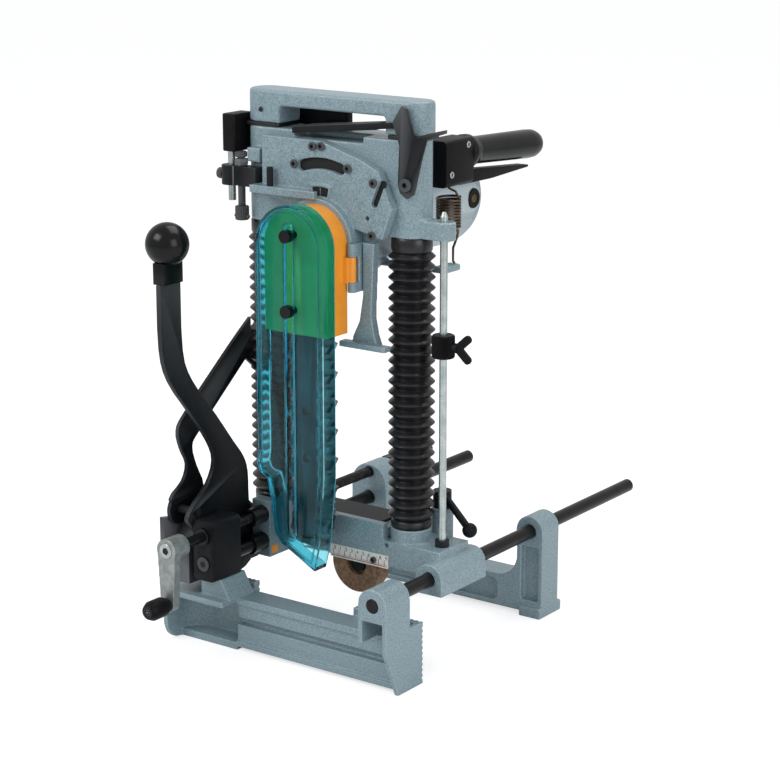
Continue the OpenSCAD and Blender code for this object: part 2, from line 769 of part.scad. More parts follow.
// Sliding carriage
module base_casting() placed(casting) difference() {
    union() {
        block(bar_right_x - boss_w / 2, bar_right_x + boss_w / 2, car_front, car_back, car_boss_z, bar_z);
        rod_y(bar_right_x, car_front, bar_z, car_back - car_front, boss_w);
        block(block_left_x, rod_pad_x, bridge_front, car_rear, bar_z, car_top_z);
        block(block_left_x, bar_right_x - boss_w / 2 + over, bridge_front, car_rear, bridge_z, bar_z + over);
        for (x = [col_left_x, col_right_x]) rod_z(x, col_back, bar_z, seat_z - bar_z, 2 * socket_r);
        block(bridge_left_x - over, block_left_x + over, bridge_front, bridge_front + bridge_t, bridge_z,
            bridge_top);
        block(bridge_left_x - over, block_left_x + over, bridge_front + over, car_rear, deck_z,
            deck_z + deck_t);
        block(bridge_left_x - over, block_left_x + over, car_rear - rear_web_t, car_rear, bridge_z,
            deck_z + over);
        block(left_boss_left_x, left_boss_right_x, car_front, left_boss_back, left_boss_z, left_boss_top);
        block(left_boss_left_x, left_boss_right_x, left_boss_back - over, car_rear, left_boss_z, seat_z);
        rod_z(col_left_x, col_back, left_boss_z, seat_z - left_boss_z, 2 * socket_r);
        block(col_left_x, left_boss_right_x, car_rear - over, car_back, left_boss_z, seat_z);
        rod_z(lock_x, lock_y, car_boss_z, lock_top - car_boss_z, 2 * lock_r);
        block(lock_x - lock_r, lock_x + lock_r, car_rear - over, lock_y, car_boss_z + over, car_top_z);
    }
    rod_y(bar_right_x, car_front - over, bar_z, car_back - car_front + 2 * over, bar_d + 2 * slide);
    rod_y(bar_left_x, car_front - over, bar_z, car_back - car_front + 2 * over, bar_d + 2 * slide);
    rod_y(bar_left_x, car_front - over, screw_z, car_back - car_front + 2 * over, screw_d + 2 * over);
    for (x = [col_left_x, col_right_x]) rod_z(x, col_back, seat_z - spigot_l, spigot_l + over,
        spigot_d + 2 * fit);
    rod_z(rod_x_pos, col_back, car_top_z - rod_sunk, rod_sunk + over, rod_d + 2 * fit);
    rod_y(block_left_x + corner_r, bridge_front - over, car_top_z - corner_r, over + face_deep, oil_hole_d);
    rod_y(scale_screw_x, bridge_front - over, scale_z + scale_h / 2, bridge_t + 2 * over,
        scale_screw_d / 2 + 2 * fit);
    rod_z(lock_x, lock_y, lock_top - lock_hub_h, lock_hub_h + over, lock_rod_d + 2 * slide);
}
module columns() placed(steel) difference() {
    for (x = [col_left_x, col_right_x]) {
        rod_z(x, col_back, seat_z, col_l, col_d);
        rod_z(x, col_back, seat_z - spigot_l, spigot_l + over, spigot_d);
    }
    for (x = [col_left_x, col_right_x]) rod_z(x, col_back, seat_z + lift_seat, col_l, col_bore);
}
bellows_r = bellows_d / 2;
rib_z0 = seat_z + foot_cuff_h;
rib_pitch = (head_z - cuff_h - rib_z0) / ribs;
root_r = bellows_r - rib_deep;
// One wall of the bellows, s further out than the outer skin
function rib_line(s) = [for (i = [0:ribs - 1]) each [[root_r + s, rib_z0 + i * rib_pitch],
    [bellows_r + s, rib_z0 + (i + 0.5) * rib_pitch]]];
module bellows_one() rotate_extrude() polygon(concat(
    [[col_d / 2 + slide, seat_z], [socket_r, seat_z], [socket_r, rib_z0 - over]], rib_line(0),
    [[root_r, head_z - cuff_h], [socket_r, head_z - cuff_h + over], [socket_r, head_z], [col_d / 2 + slide,
        head_z],
        [col_d / 2 + slide, head_z - cuff_h + bellows_wall]],
    [for (i = [len(rib_line(0)) - 1:-1:1]) rib_line(-bellows_wall)[i]],
    [[col_d / 2 + slide, rib_z0 - bellows_wall]]));
module bellows() placed(black_paint)
    for (x = [col_left_x, col_right_x]) translate([x, col_back, 0]) bellows_one();
lift_play_share = 0.6;
lift_r = col_bore / 2 - lift_wire / 2 - lift_play_share * lift_wire;
lift_z0 = seat_z + lift_seat;
lift_z1 = case_top - head_bore_top;
echo(lift_gap = (lift_z1 - lift_z0 - 2 * lift_wire) / lift_turns - lift_wire);
module column_springs() placed(steel)
    for (x = [col_left_x, col_right_x]) translate([x, col_back, 0])
        coil_tube(spring_line(lift_r, lift_turns, lift_z0, lift_z1, lift_wire), lift_wire / 2);
bracket_back_share = 0.7;
cheek_front_share = 0.92;
bracket_front_share = 1.35;
module lever_bracket() placed(black_paint) difference() {
    union() {
        plate_x(bracket_x, bracket_t) polygon([[bracket_front, bracket_z], [bracket_back, bracket_z],
            [bracket_back, bracket_z + bracket_h * bracket_back_share], [bracket_back - bracket_cut,
                bracket_z + bracket_h],
            [bracket_front + bracket_cut, bracket_z + bracket_h], [bracket_front,
                bracket_z + bracket_h - bracket_cut * bracket_front_share]]);
        plate_x(cheek_x, cheek_t) polygon([[cheek_front, bracket_z], [bracket_back - bracket_cut, bracket_z],
            [bracket_back - bracket_cut, bracket_z + bracket_h * bracket_back_share], [cheek_front,
                bracket_z + bracket_h * cheek_front_share]]);
        block(cheek_x + over, bracket_x + over, bridge_low, bracket_back - bracket_cut, bracket_z,
            pivot_z + bracket_cut);
        block(bracket_x + bracket_t - over, pad_back_x, bracket_back - pad_l_y, bracket_back,
            left_boss_z + ring_t, seat_z - ring_t);
    }
    rod_x(cheek_x - over, pivot_y, pivot_z, pad_back_x - cheek_x + 2 * over, pivot_d + 2 * slide);
    for (p = bracket_bolt_places)
        rod_x(bracket_x + bracket_t - bracket_bolt_h, p[0], p[1], bracket_bolt_h + over,
            bracket_bolt_d + 2 * fit);
}
module bracket_bolts() placed(black_paint) for (p = bracket_bolt_places)
    rod_x(bracket_x + bracket_t - bracket_bolt_h, p[0], p[1], bracket_bolt_h, bracket_bolt_d);
module bar_sleeves() placed(black_paint) difference() {
    for (z = [bar_z, screw_z]) rod_y(bar_left_x, car_front - sleeve_l, z, sleeve_l, sleeve_d);
    rod_y(bar_left_x, car_front - sleeve_l - over, bar_z, sleeve_l + 2 * over, bar_d + 2 * slide);
    rod_y(bar_left_x, car_front - sleeve_l - over, screw_z, sleeve_l + 2 * over, screw_d + 2 * over);
}
module scale_strip() placed("white") difference() {
    block(scale_x, scale_x + scale_l, bridge_front - scale_t, bridge_front, scale_z, scale_z + scale_h);
    rod_y(scale_screw_x, bridge_front - scale_t - over, scale_z + scale_h / 2, scale_t + 2 * over,
        scale_screw_d / 2 + 2 * fit);
}
module scale_screw() placed(black_paint) {
    rod_y(scale_screw_x, bridge_front - scale_t - scale_screw_h, scale_z + scale_h / 2, scale_screw_h,
        scale_screw_d);
    rod_y(scale_screw_x, bridge_front - scale_t - over, scale_z + scale_h / 2, scale_t + bridge_t,
        scale_screw_d / 2);
}
module chip_disc() placed("#8a6a50") difference() {
    rod_y(disc_x, bridge_front + bridge_t, disc_z, disc_t, 2 * disc_r);
    rod_y(disc_x, bridge_front + bridge_t - over, disc_z, disc_t / 2 + over, disc_hole_d);
    rod_y(disc_x, bridge_front + bridge_t - over, disc_z, disc_t + 2 * over, disc_bolt_d + 2 * fit);
}
module disc_bolt() placed(black_paint) {
    rod_y(disc_x, bridge_front + bridge_t + disc_t / 2 - disc_head_h, disc_z, disc_head_h, disc_head_d);
    rod_y(disc_x, bridge_front + bridge_t + disc_t / 2 - over, disc_z, car_rear - rear_web_t - bridge_front
        - bridge_t - disc_t / 2 + over, disc_bolt_d);
}
module depth_rod() placed(steel) {
    rod_z(rod_x_pos, col_back, car_top_z - rod_sunk, rod_sunk + rod_l - rod_tip, rod_d);
    translate([rod_x_pos, col_back, car_top_z + rod_l - rod_tip]) cylinder(d1 = rod_d, d2 = rod_d / 2,
        h = rod_tip);
}
module rod_nut() placed(black_paint) difference() {
    plate_z(car_top_z, rod_nut_h) translate([rod_x_pos, col_back]) circle(d = rod_nut_d);
    rod_z(rod_x_pos, col_back, car_top_z - over, rod_nut_h + 2 * over, rod_d + 2 * fit);
}
module base_strap() placed(black_paint)
    block(bridge_left_x + strap_inset, block_left_x - strap_inset, bridge_front + bridge_t, car_rear,
        deck_z + deck_t,
        deck_z + deck_t + strap_t);
module ball_rod(a, b, d) translate(a) rotate([0, acos((b - a)[2] / norm(b - a)), atan2((b - a)[1], (b - a)[0])])
    cylinder(d = d, h = norm(b - a));
module lock_lever() placed(black_paint) {
    rod_z(lock_x, lock_y, lock_top + gap, lock_hub_h, 2 * lock_hub_r);
    rod_z(lock_x, lock_y, lock_top - lock_hub_h, lock_hub_h + 2 * over, lock_rod_d);
    ball_rod([lock_x, lock_y, lock_top + lock_hub_h * lock_arm_share], [lock_ball_x, lock_ball_y,
        lock_ball_z], lock_rod_d);
    translate([lock_ball_x, lock_ball_y, lock_ball_z]) sphere(d = lock_ball_d);
}
module stopper() placed(black_paint) difference() {
    rod_z(rod_x_pos, col_back, car_top_z + stopper_up, stopper_h, stopper_d);
    rod_z(rod_x_pos, col_back, car_top_z + stopper_up - over, stopper_h + 2 * over, rod_d + 2 * slide);
    rod_x(rod_x_pos + rod_d / 2 + over, col_back, car_top_z + stopper_up + stopper_h / 2, stopper_d,
        wing_stem_d + 2 * slide);
}
wing_collar_share = 1.7;
wing_turn = 42;
wing_leaf_share = 0.33;
wing_reach_share = 0.72;
module wing_screw() placed(black_paint) {
    z = car_top_z + stopper_up + stopper_h / 2;
    rod_x(rod_x_pos + rod_d / 2 + 2 * over, col_back, z, stopper_d / 2, wing_stem_d);
    rod_x(rod_x_pos + stopper_d / 2 + gap, col_back, z, stopper_d / 4, wing_stem_d * wing_collar_share);
    plate_y(col_back - wing_t / 2, wing_t) for (s = [-1, 1])
        translate([rod_x_pos + stopper_d / 2 + wing_stem_d, z]) rotate(s * wing_turn)
            translate([0, -wing_w * wing_leaf_share / 2]) round_rect(wing_l * wing_reach_share,
                wing_w * wing_leaf_share, wing_t);
}

// Head casting and what it carries
plate_line = spread(plate_shares, plate_w, plate_h, spr_x, spr_z);
module head_casting() placed(casting) difference() {
    union() {
        for (x = [col_left_x, col_right_x]) rod_z(x, col_back, head_z, head_h, 2 * head_boss_r);
        plate_y(case_front, case_back - case_front)
            polygon(spread(case_shares, plate_w, plate_h, spr_x, spr_z));
        rod_y(spr_x, case_front, spr_z, case_back - case_front, 2 * collar_r);
        rod_y(spr_x, case_back - corner_r, motor_z, corner_r, 2 * motor_r);
        block(col_right_x, lug_right_x - lug_w / 2, col_back - lug_w / 2, col_back + lug_w / 2, head_z,
            head_z + lug_h);
        rod_z(lug_right_x - lug_w / 2, col_back, head_z, lug_h, lug_w);
        block(left_lug_x, left_lug_x + left_lug_l, case_front - left_lug_l / 2, case_front + over, left_lug_z,
            left_lug_z + left_lug_h);
        block(bracket_x, col_left_x, hanger_front, hanger_front + hanger_w, head_z, head_z + hanger_w);
        block(col_left_x - hanger_t, spr_x - motor_r - over, case_back - over, case_back + corner_r,
            head_z, head_z + hanger_w);
        plate_x(bracket_x, hanger_t) {
            translate([hanger_front, pin2_z]) square([hanger_w, head_z - pin2_z + over]);
            translate([hanger_front + hanger_w / 2, pin2_z]) circle(d = hanger_w);
        }
        block(spr_x + motor_r / 2, hook_x + hook_r + hook_wire, case_back - corner_r, case_back, spring_arm_z,
            spring_arm_z + spring_arm_h);
        block(hook_x, hook_x + hook_r + hook_wire, case_back - over, hook_y + hook_wire, spring_arm_z,
            spring_arm_z + spring_arm_h);
    }
    for (x = [col_left_x, col_right_x])
        rod_z(x, col_back, head_z - over, head_h - head_bore_top + over, col_d + 2 * slide);
    rod_z(rod_x_pos, col_back, head_z - over, lug_h + 2 * over, rod_d + 2 * slide);
    rod_y(spr_x, case_front - over, spr_z, gear_back - case_front + gear_t + 3 * over, 2 * gear_cavity_r);
    rod_y(spr_x, case_front - over, motor_z, gear_back - case_front + gear_t + 3 * over, 2 * pinion_cavity_r);
    rod_y(spr_x, case_front, spr_z, shaft_back - case_front, shaft_d + 2 * slide);
    rod_y(spr_x, case_front, motor_z, case_back - case_front + over, rotor_shaft_d + 2 * slide);
    rod_x(bracket_x - over, hanger_front + hanger_w / 2, pin2_z, hanger_t + 2 * over, pin2_d + 2 * fit);
    rod_y(latch_x, case_front - over, latch_z, latch_hole_deep, latch_pin_d + 2 * fit);
    plate_y(case_front - over, handle_w / 2 + over) translate([spr_x - plate_w / 2, case_top - saddle_deep])
        square([plate_w, saddle_deep + over]);
}
module cam_slot(l) {
    translate([0, -l / 2]) circle(d = cam_slot_w);
    translate([0, l / 2]) circle(d = cam_slot_w);
    square([cam_slot_w, l], center = true);
}
module gear_cover() placed(casting) difference() {
    union() {
        plate_y(cover_front_y, case_front - cover_front_y) polygon(plate_line);
        rod_y(spr_x, collar_front_y, spr_z, case_front - collar_front_y, 2 * collar_r);
        block(clamp_right_x, spr_x, cover_front_y - ledge_out, case_front, ledge_z, ledge_z + ledge_h);
        plate_y(cover_front_y - window_rim, window_rim) translate([spr_x - window_w / 2 - window_rim,
            window_z - window_rim])
            round_rect(window_w + 2 * window_rim, window_h + 2 * window_rim, window_rim);
        for (z = [hinge_z, hinge_z + hinge_h - lug_high_h]) {
            h = z == hinge_z ? lug_low_h : lug_high_h;
            rod_z(hinge_x, hinge_y, z, h, 2 * hinge_r);
            block(hinge_x - hinge_r, hinge_x + hinge_r, hinge_y, case_front, z, z + h);
        }
        block(hinge_x - hinge_r, hinge_x + hinge_r, hinge_y + hinge_r + 2 * over, case_front, hinge_z,
            hinge_z + hinge_h);
    }
    rod_y(spr_x, collar_front_y - over, spr_z, cover_front_y - collar_front_y + over, 2 * collar_bore_r);
    block(spr_x - collar_bore_r, spr_x + collar_bore_r, collar_front_y - over, cover_front_y,
        spr_z - collar_r - over, spr_z);
    rod_y(spr_x, cover_front_y - over, spr_z, case_front - cover_front_y + 2 * over, shaft_d + 2 * slide);
    rod_z(hinge_x, hinge_y, hinge_z + lug_low_h - gap, hinge_h - lug_low_h - lug_high_h + 2 * gap,
        2 * hinge_r + 2 * over);
    block(hinge_x - hinge_r - over, hinge_x + hinge_r + over, collar_front_y - over, hinge_y,
        hinge_z + lug_low_h - gap, hinge_z + hinge_h - lug_high_h + gap);
    rod_z(hinge_x, hinge_y, hinge_z - over, hinge_h + 2 * over, hinge_pin_d + 2 * fit);
    plate_y(cover_front_y - over, face_deep + over) {
        polygon(concat(
            arc([spr_x, spr_z], arc_slot_r - arc_slot_w / 2, 90 - arc_slot_turn, 90 + arc_slot_turn, 8),
            arc([spr_x, spr_z], arc_slot_r + arc_slot_w / 2, 90 + arc_slot_turn, 90 - arc_slot_turn, 8)));
        for (s = [-1, 1]) translate([spr_x + s * arc_slot_r * sin(arc_slot_turn),
            spr_z + arc_slot_r * cos(arc_slot_turn)])
            circle(d = arc_slot_w);
        translate([cam_slot_x, cam_slot_z]) rotate(-cam_slot_turn) cam_slot(cam_slot_l);
        translate([face_hole_x, face_hole_z]) circle(d = face_hole_d);
    }
    plate_y(cover_front_y - window_rim - over, face_deep + window_rim + over)
        translate([spr_x - window_w / 2, window_z]) round_rect(window_w, window_h, window_rim);
}
module cover_screws() placed(black_paint) {
    for (p = cover_screw_places)
        rod_y(p[0], cover_front_y - screw_head_h, p[1], screw_head_h, screw_head_d);
    rod_z(front_pin_x, cover_front_y - ledge_out / 2, ledge_z + ledge_h, front_pin_l, front_pin_d);
}
module carry_handle() placed(casting) difference() {
    plate_z(case_top + gasket_t, handle_h) translate([handle_left_x, col_back - handle_w / 2])
        round_rect(handle_right_x - handle_left_x, handle_w, handle_w / 2 - over);
    block(handle_left_x + leg_left_w, handle_right_x - leg_right_w, col_back - handle_w, col_back + handle_w,
        case_top, case_top + gasket_t + handle_h - grip_t);
    rod_y(handle_left_x + leg_left_w / 2, col_back - handle_w / 2 - over, case_top + handle_h / 2, face_deep,
        handle_hole_d);
}
module handle_gasket() placed(black_paint) for (x = [[handle_left_x, leg_left_w],
    [handle_right_x - leg_right_w, leg_right_w]])
    plate_z(case_top, gasket_t) translate([x[0] + gasket_inset, col_back - head_boss_r + gasket_inset])
        round_rect(x[1] - 2 * gasket_inset, 2 * head_boss_r - 2 * gasket_inset, corner_r);
module motor_shape(r, end_r, y0, y1) translate([spr_x, case_back, motor_z]) rotate([-90, 0, 0]) rotate_extrude()
    polygon(concat([[0, y0], [r, y0]], arc([end_r, y1 - r + end_r], r - end_r, 0, 90, 8), [[0, y1]]));
module motor_housing() placed(casting) {
    difference() {
        motor_shape(motor_r, motor_rear_r, 0, motor_l);
        motor_shape(motor_r - motor_wall, motor_rear_r - motor_wall, -over, motor_l - 3 * motor_wall);
        rod_y(spr_x, case_back + motor_l - 4 * motor_wall, motor_z, 5 * motor_wall, rotor_shaft_d + 2 * slide);
        rod_x(spr_x - motor_r - over, brush_back, motor_z, 2 * motor_r + 2 * over, brush_d + 2 * fit);
    }
}
module field_core() placed("dimgray") difference() {
    rod_y(spr_x, stator_back, motor_z, stator_l, 2 * (motor_r - motor_wall));
    rod_y(spr_x, stator_back - over, motor_z, stator_l + 2 * over, 2 * stator_bore_r);
}
module brush_caps() placed(black_paint) for (s = [-1, 1])
    rod_x(s > 0 ? spr_x + motor_r + brush_out - brush_t : spr_x - motor_r - brush_out, brush_back, motor_z,
        brush_t, brush_d);
module armature() placed("dimgray") {
    rod_y(spr_x, gear_back, motor_z, case_back + motor_l - gear_back - motor_wall, rotor_shaft_d);
    rod_y(spr_x, stator_back + gap, motor_z, rotor_l, 2 * rotor_r);
    rod_y(spr_x, brush_back - commutator_l / 2, motor_z, commutator_l, 2 * commutator_r);
    plate_y(gear_back, gear_t) translate([spr_x, motor_z]) spur(pinion_teeth);
}
// Spur gear with straight-flanked teeth, drawn a little under its full height so that a pair runs free
root_share = 1.1;
spur_shares = [[-1.6, -0.72], [0.6, -0.28], [0.6, 0.28], [-1.6, 0.72]];
module spur(n) {
    r = gear_module * n / 2;
    circle(r - root_share * gear_module);
    for (i = [0:n - 1]) rotate(360 * i / n) polygon(spread(spur_shares, gear_module, gear_module, r, 0));
}
module output_shaft() placed(steel) {
    rod_y(spr_x, shaft_front, spr_z, shaft_back - shaft_front, shaft_d);
    plate_y(gear_back, gear_t) translate([spr_x, spr_z]) rotate(180 / gear_teeth * (1 + gear_teeth % 2))
        rotate(90) spur(gear_teeth);
}
module sprocket() placed(steel) difference() {
    plate_y(chain_front, chain_w) translate([spr_x, spr_z]) difference() {
        circle(sprocket_r);
        for (i = [0:sprocket_teeth - 1]) rotate(360 * i / sprocket_teeth) translate([sprocket_r, 0])
            circle(sprocket_r - sprocket_root_r);
    }
    rod_y(spr_x, chain_front - over, spr_z, chain_w + 2 * over, shaft_d + 2 * fit);
}
trigger_pin_share = 0.84;
module switch_housing() placed(black_paint) difference() {
    plate_y(switch_back, switch_l) translate([switch_x, switch_z]) round_rect(switch_w, switch_h, corner_r);
    block(grip_x - trigger_w / 2 - over, grip_x + trigger_w / 2 + over, trigger_front - corner_r,
        switch_back + switch_l + over,
        switch_z - over, switch_z + trigger_h + over);
    rod_x(grip_x - trigger_pin_l / 2, trigger_front + trigger_h / 2, grip_z - trigger_pin_share * grip_d,
        trigger_pin_l,
        trigger_pin_d + 2 * fit);
}
grip_full_share = 0.9;
grip_end_share = 0.16;
grip_shares = [[0, 0], [0.58, 0], [0.58, 0.08], [0.46, 0.12], [0.5, 0.55], [0.5, 0.9]];
module rear_grip() placed(black_paint) {
    translate([grip_x, grip_front, grip_z]) rotate([-90 - grip_fall, 0, 0]) rotate_extrude() polygon(concat(
        spread(grip_shares, grip_d, grip_l, 0, 0),
        arc([grip_d / 2 - grip_end_share * grip_d, grip_l * grip_full_share], grip_end_share * grip_d, 0,
            90, 4),
        [[0, grip_l * grip_full_share + grip_end_share * grip_d]]));
}
module trigger() placed(black_paint) difference() {
    plate_x(grip_x - trigger_w / 2, trigger_w)
        polygon(spread(trigger_shares, trigger_l, grip_d, trigger_front, grip_z));
    rod_x(grip_x - trigger_w, trigger_front + trigger_h / 2, grip_z - trigger_pin_share * grip_d,
        2 * trigger_w, trigger_pin_d + 2 * slide);
}
module trigger_pin() placed(steel)
    rod_x(grip_x - trigger_pin_l / 2, trigger_front + trigger_h / 2, grip_z - trigger_pin_share * grip_d,
        trigger_pin_l, trigger_pin_d);
echo(hook_gap = (hook_top - hook_bottom - 2 * hook_wire) / hook_turns - hook_wire);
module return_spring() placed("#4a3f35") translate([hook_x, hook_y, 0])
    coil_tube(spring_line(hook_r, hook_turns, hook_bottom, hook_top, hook_wire), hook_wire / 2);
module oil_tank() placed(black_paint)
    plate_z(tank_z, tank_h) translate([tank_x, tank_y]) round_rect(tank_w, tank_l, corner_r / 2);
module adjuster_rod() placed(steel)
    rod_z(adj_rod_x, adj_rod_y, adj_rod_z, tank_z - adj_rod_z, adj_rod_d);
module adjuster_clamp() placed(black_paint) difference() {
    union() {
        rod_z(adj_rod_x, adj_rod_y, clamp_z, clamp_h, 2 * clamp_r);
        block(adj_rod_x, clamp_right_x, adj_rod_y - clamp_t / 2, adj_rod_y + clamp_t / 2, clamp_z,
            clamp_z + clamp_h);
    }
    rod_z(adj_rod_x, adj_rod_y, clamp_z - over, clamp_h + 2 * over, adj_rod_d + 2 * fit);
    rod_z(adj_screw_x, adj_rod_y, clamp_z - over, clamp_h + 2 * over, adj_screw_d + 2 * fit);
}
module adjuster_screws() placed(black_paint) {
    rod_z(adj_screw_x, adj_rod_y, adj_screw_z, adj_screw_l, adj_screw_d);
    rod_z(adj_screw_x, adj_rod_y, adj_knob_z, adj_knob_h, adj_knob_d);
    rod_x(clamp_left_x - side_screw_l + over, adj_rod_y, clamp_z + clamp_h / 2, side_screw_l, side_screw_d);
}
bar_hole_shares = [0.25, 0.42];
module chain_bar() placed("dimgray") difference() {
    union() {
        plate_y(chain_front + row_t, chain_w - 2 * row_t) {
            translate([spr_x - bar_half, nose_z + pin_r]) square([2 * bar_half,
                spr_z - nose_z - pin_r - bar_top_gap]);
            translate([spr_x - nose_r, nose_z]) square([2 * nose_r, pin_r + over]);
            translate([spr_x, nose_z]) circle(nose_r);
        }
        rod_y(spr_x, chain_back, spr_z - 2 * bar_top_gap, cover_front_y - chain_back, 2 * bar_foot_r);
    }
    for (s = bar_hole_shares) rod_y(spr_x, chain_front, nose_z + s * bar_reach, chain_w, bar_foot_r);
}
// The pin line: up the right run, over the sprocket, down the left run and round the nose
run_l = bar_reach;
turn_l = PI * pin_r;
loop_l = 2 * run_l + 2 * turn_l;
link_pitch = loop_l / links;
echo(link_pitch = link_pitch);
function on_loop(s) = let (t = s - loop_l * floor(s / loop_l))
    t < run_l ? [spr_x + pin_r, nose_z + t]
    : t < run_l + turn_l ? let (a = 180 * (t - run_l) / turn_l) [spr_x + pin_r * cos(a), spr_z + pin_r * sin(a)]
    : t < 2 * run_l + turn_l ? [spr_x - pin_r, spr_z - (t - run_l - turn_l)]
    : let (a = 180 + 180 * (t - 2 * run_l - turn_l) / turn_l) [spr_x + pin_r * cos(a), nose_z + pin_r * sin(a)];
// One plate with its cutting tooth, from its first pin at the origin to its second along +X; the outside is -Y
module link_plate(l, tooth) polygon([[-link_out, link_in], [l + link_out, link_in], [l + link_out, -link_out],
    [tip_share * l + link_out, -link_out], [tip_share * l + link_out / 2, -(tooth ? cutter_h : link_out)],
    [gullet_share * l, -link_out], [-link_out, -link_out]]);
module chain() placed(steel) {
    for (r = [0:rows - 1]) plate_y(chain_front + r * row_t, row_t)
        for (i = [0:links - 1]) if (i % 2 == r % 2) {
            a = on_loop(i * link_pitch);
            b = on_loop((i + 1) * link_pitch);
            translate(a) rotate(atan2((b - a)[1], (b - a)[0])) link_plate(norm(b - a), true);
        }
    for (i = [0:links - 1]) let (a = on_loop(i * link_pitch))
        rod_y(a[0], chain_front - rivet_h, a[1], rivet_h + over, rivet_d);
}
module chip_chute() placed(casting) {
    plate_y(case_front - chute_t, chute_t) polygon(spread(chute_shares, chute_w, chute_h, chute_x, chute_z));
    block(chute_x, chute_x + chute_w, chute_foot_front, chute_foot_back, chute_z, chute_z + chute_foot_h);
}

// Covers, hinge and guard
module cover_outline(r) {
    translate([spr_x, spr_z]) circle(r);
    translate([spr_x - r, cover_bottom]) square([2 * r, cover_drop]);
}
module cover_front() placed("mediumseagreen") difference() {
    plate_y(front_cover_y, front_cover_t) cover_outline(cover_r);
    plate_y(front_cover_y + cover_wall, front_cover_t) {
        cover_outline(cover_r - cover_wall);
        translate([spr_x - cover_r + cover_wall, cover_bottom - over]) square([2 * (cover_r - cover_wall),
            2 * over]);
    }
}
module cover_rear() placed("orange") difference() {
    union() {
        difference() {
            plate_y(rear_cover_y, rear_cover_t) cover_outline(cover_r);
            plate_y(rear_cover_y - over, rear_cover_t + 2 * over) {
                cover_outline(cover_r - cover_wall);
                translate([spr_x - cover_r + cover_wall, cover_bottom - over])
                    square([2 * (cover_r - cover_wall), 2 * over]);
            }
        }
        rod_z(hinge_x, hinge_y, hinge_z + lug_low_h, hinge_h - lug_low_h - lug_high_h, 2 * hinge_r);
        block(spr_x + cover_r - cover_wall, hinge_x, hinge_y - 2 * hinge_r, hinge_y - hinge_r / 3,
            hinge_z + lug_low_h, hinge_z + hinge_h - lug_high_h);
    }
    rod_z(hinge_x, hinge_y, hinge_z, hinge_h, hinge_pin_d + 2 * slide);
}
module hinge_pins() placed(steel) {
    rod_z(hinge_x, hinge_y, hinge_z, hinge_h, hinge_pin_d);
    rod_x(link_x - gap, hanger_front + hanger_w / 2, pin2_z, bracket_x + hanger_t - link_x + gap, pin2_d);
}
module cover_knobs() placed(black_paint) for (z = [knob_low_z, knob_top_z]) {
    rod_y(spr_x, guard_y - knob_t - gap, z, knob_t, knob_d);
    rod_y(spr_x, guard_y - gap - over, z, front_cover_y - guard_y + gap + over, stem_d);
}
guard_line = concat(arc([spr_x, spr_z], guard_r, 0, 180, 24), spread(guard_shares, guard_w, guard_h,
    guard_left_x, guard_tip_z));
module guard_slot() {
    translate([spr_x - slot_w / 2, slot_z + slot_w / 2]) square([slot_w, slot_l - slot_w]);
    for (z = [slot_z + slot_w / 2, slot_z + slot_l - slot_w / 2]) translate([spr_x, z]) circle(d = slot_w);
}
module chain_guard() placed([0.09, 0.6, 0.66, 0.6]) difference() {
    plate_y(guard_y, guard_t) polygon(guard_line);
    plate_y(guard_y + guard_wall, guard_t) polygon(inset(guard_line, guard_wall));
    plate_y(guard_y - over, guard_wall + 2 * over) guard_slot();
}

// Latch on the right
module latch_plate() placed(black_paint) difference() {
    plate_y(latch_y, latch_t) polygon(spread(latch_shares, latch_h, latch_h, latch_x, latch_z));
    rod_y(latch_x, latch_y - over, latch_z, latch_t + 2 * over, latch_pin_d + 2 * slide);
}
module latch_bar_side(x1) polygon([[latch_bar_left_x, latch_bar_left_z], [x1, latch_bar_right_z],
    [x1, latch_bar_right_z + latch_bar_h], [latch_bar_left_x, latch_bar_left_z + latch_bar_h]]);
module latch_bar() placed(black_paint) {
    plate_y(latch_y + latch_t, latch_bar_t) latch_bar_side(latch_x - latch_pin_d);
    plate_y(latch_y + latch_t, latch_bar_w) intersection() {
        latch_bar_side(latch_x);
        translate([latch_bar_left_x, latch_bar_left_z]) square([latch_bar_wide_l, handle_h]);
    }
}
module latch_bolt() placed(black_paint) {
    rod_y(latch_x, latch_y - gap - latch_head_h, latch_z, latch_head_h, latch_head_d);
    rod_y(latch_x, latch_y - gap - over, latch_z, case_front - latch_y + latch_hole_deep - over, latch_pin_d);
}

// Lever and link
module lever_arm() placed(black_paint) difference() {
    plate_x(lever_x, lever_t)
        polygon(smooth(spread(lever_shares, lever_l, lever_l, pivot_y, pivot_z), 3));
    rod_x(lever_x - over, pivot_y, pivot_z, lever_t + 2 * over, pivot_d + 2 * fit);
    rod_x(lever_x - over, pin1_y, pin1_z, lever_t + 2 * over, pin1_d + 2 * fit);
}
lever_end_share = 0.331;
ball_seat_share = 0.4;
ball_y = pivot_y - lever_end_share * lever_l;
module lever_ball() placed(black_paint) {
    block(lever_x + lever_t / 2 - ferrule_d / 4, lever_x + lever_t / 2 + ferrule_d / 4, ball_y - ferrule_d / 2,
        ball_y + ferrule_d / 2, pivot_z + lever_l, pivot_z + lever_l + ferrule_h);
    translate([lever_x + lever_t / 2, ball_y,
        pivot_z + lever_l + ferrule_h + ball_seat_share * ball_d]) sphere(d = ball_d);
}
module lever_pins() placed(steel) {
    rod_x(cheek_x - over, pivot_y, pivot_z, lever_x + lever_t - cheek_x + over, pivot_d);
    rod_x(lever_x + lever_t, pivot_y, pivot_z, bracket_bolt_h, 2 * pivot_d);
    rod_x(cheek_x + cheek_t + gap, pin1_y, pin1_z, lever_x + lever_t - cheek_x - cheek_t, pin1_d);
}
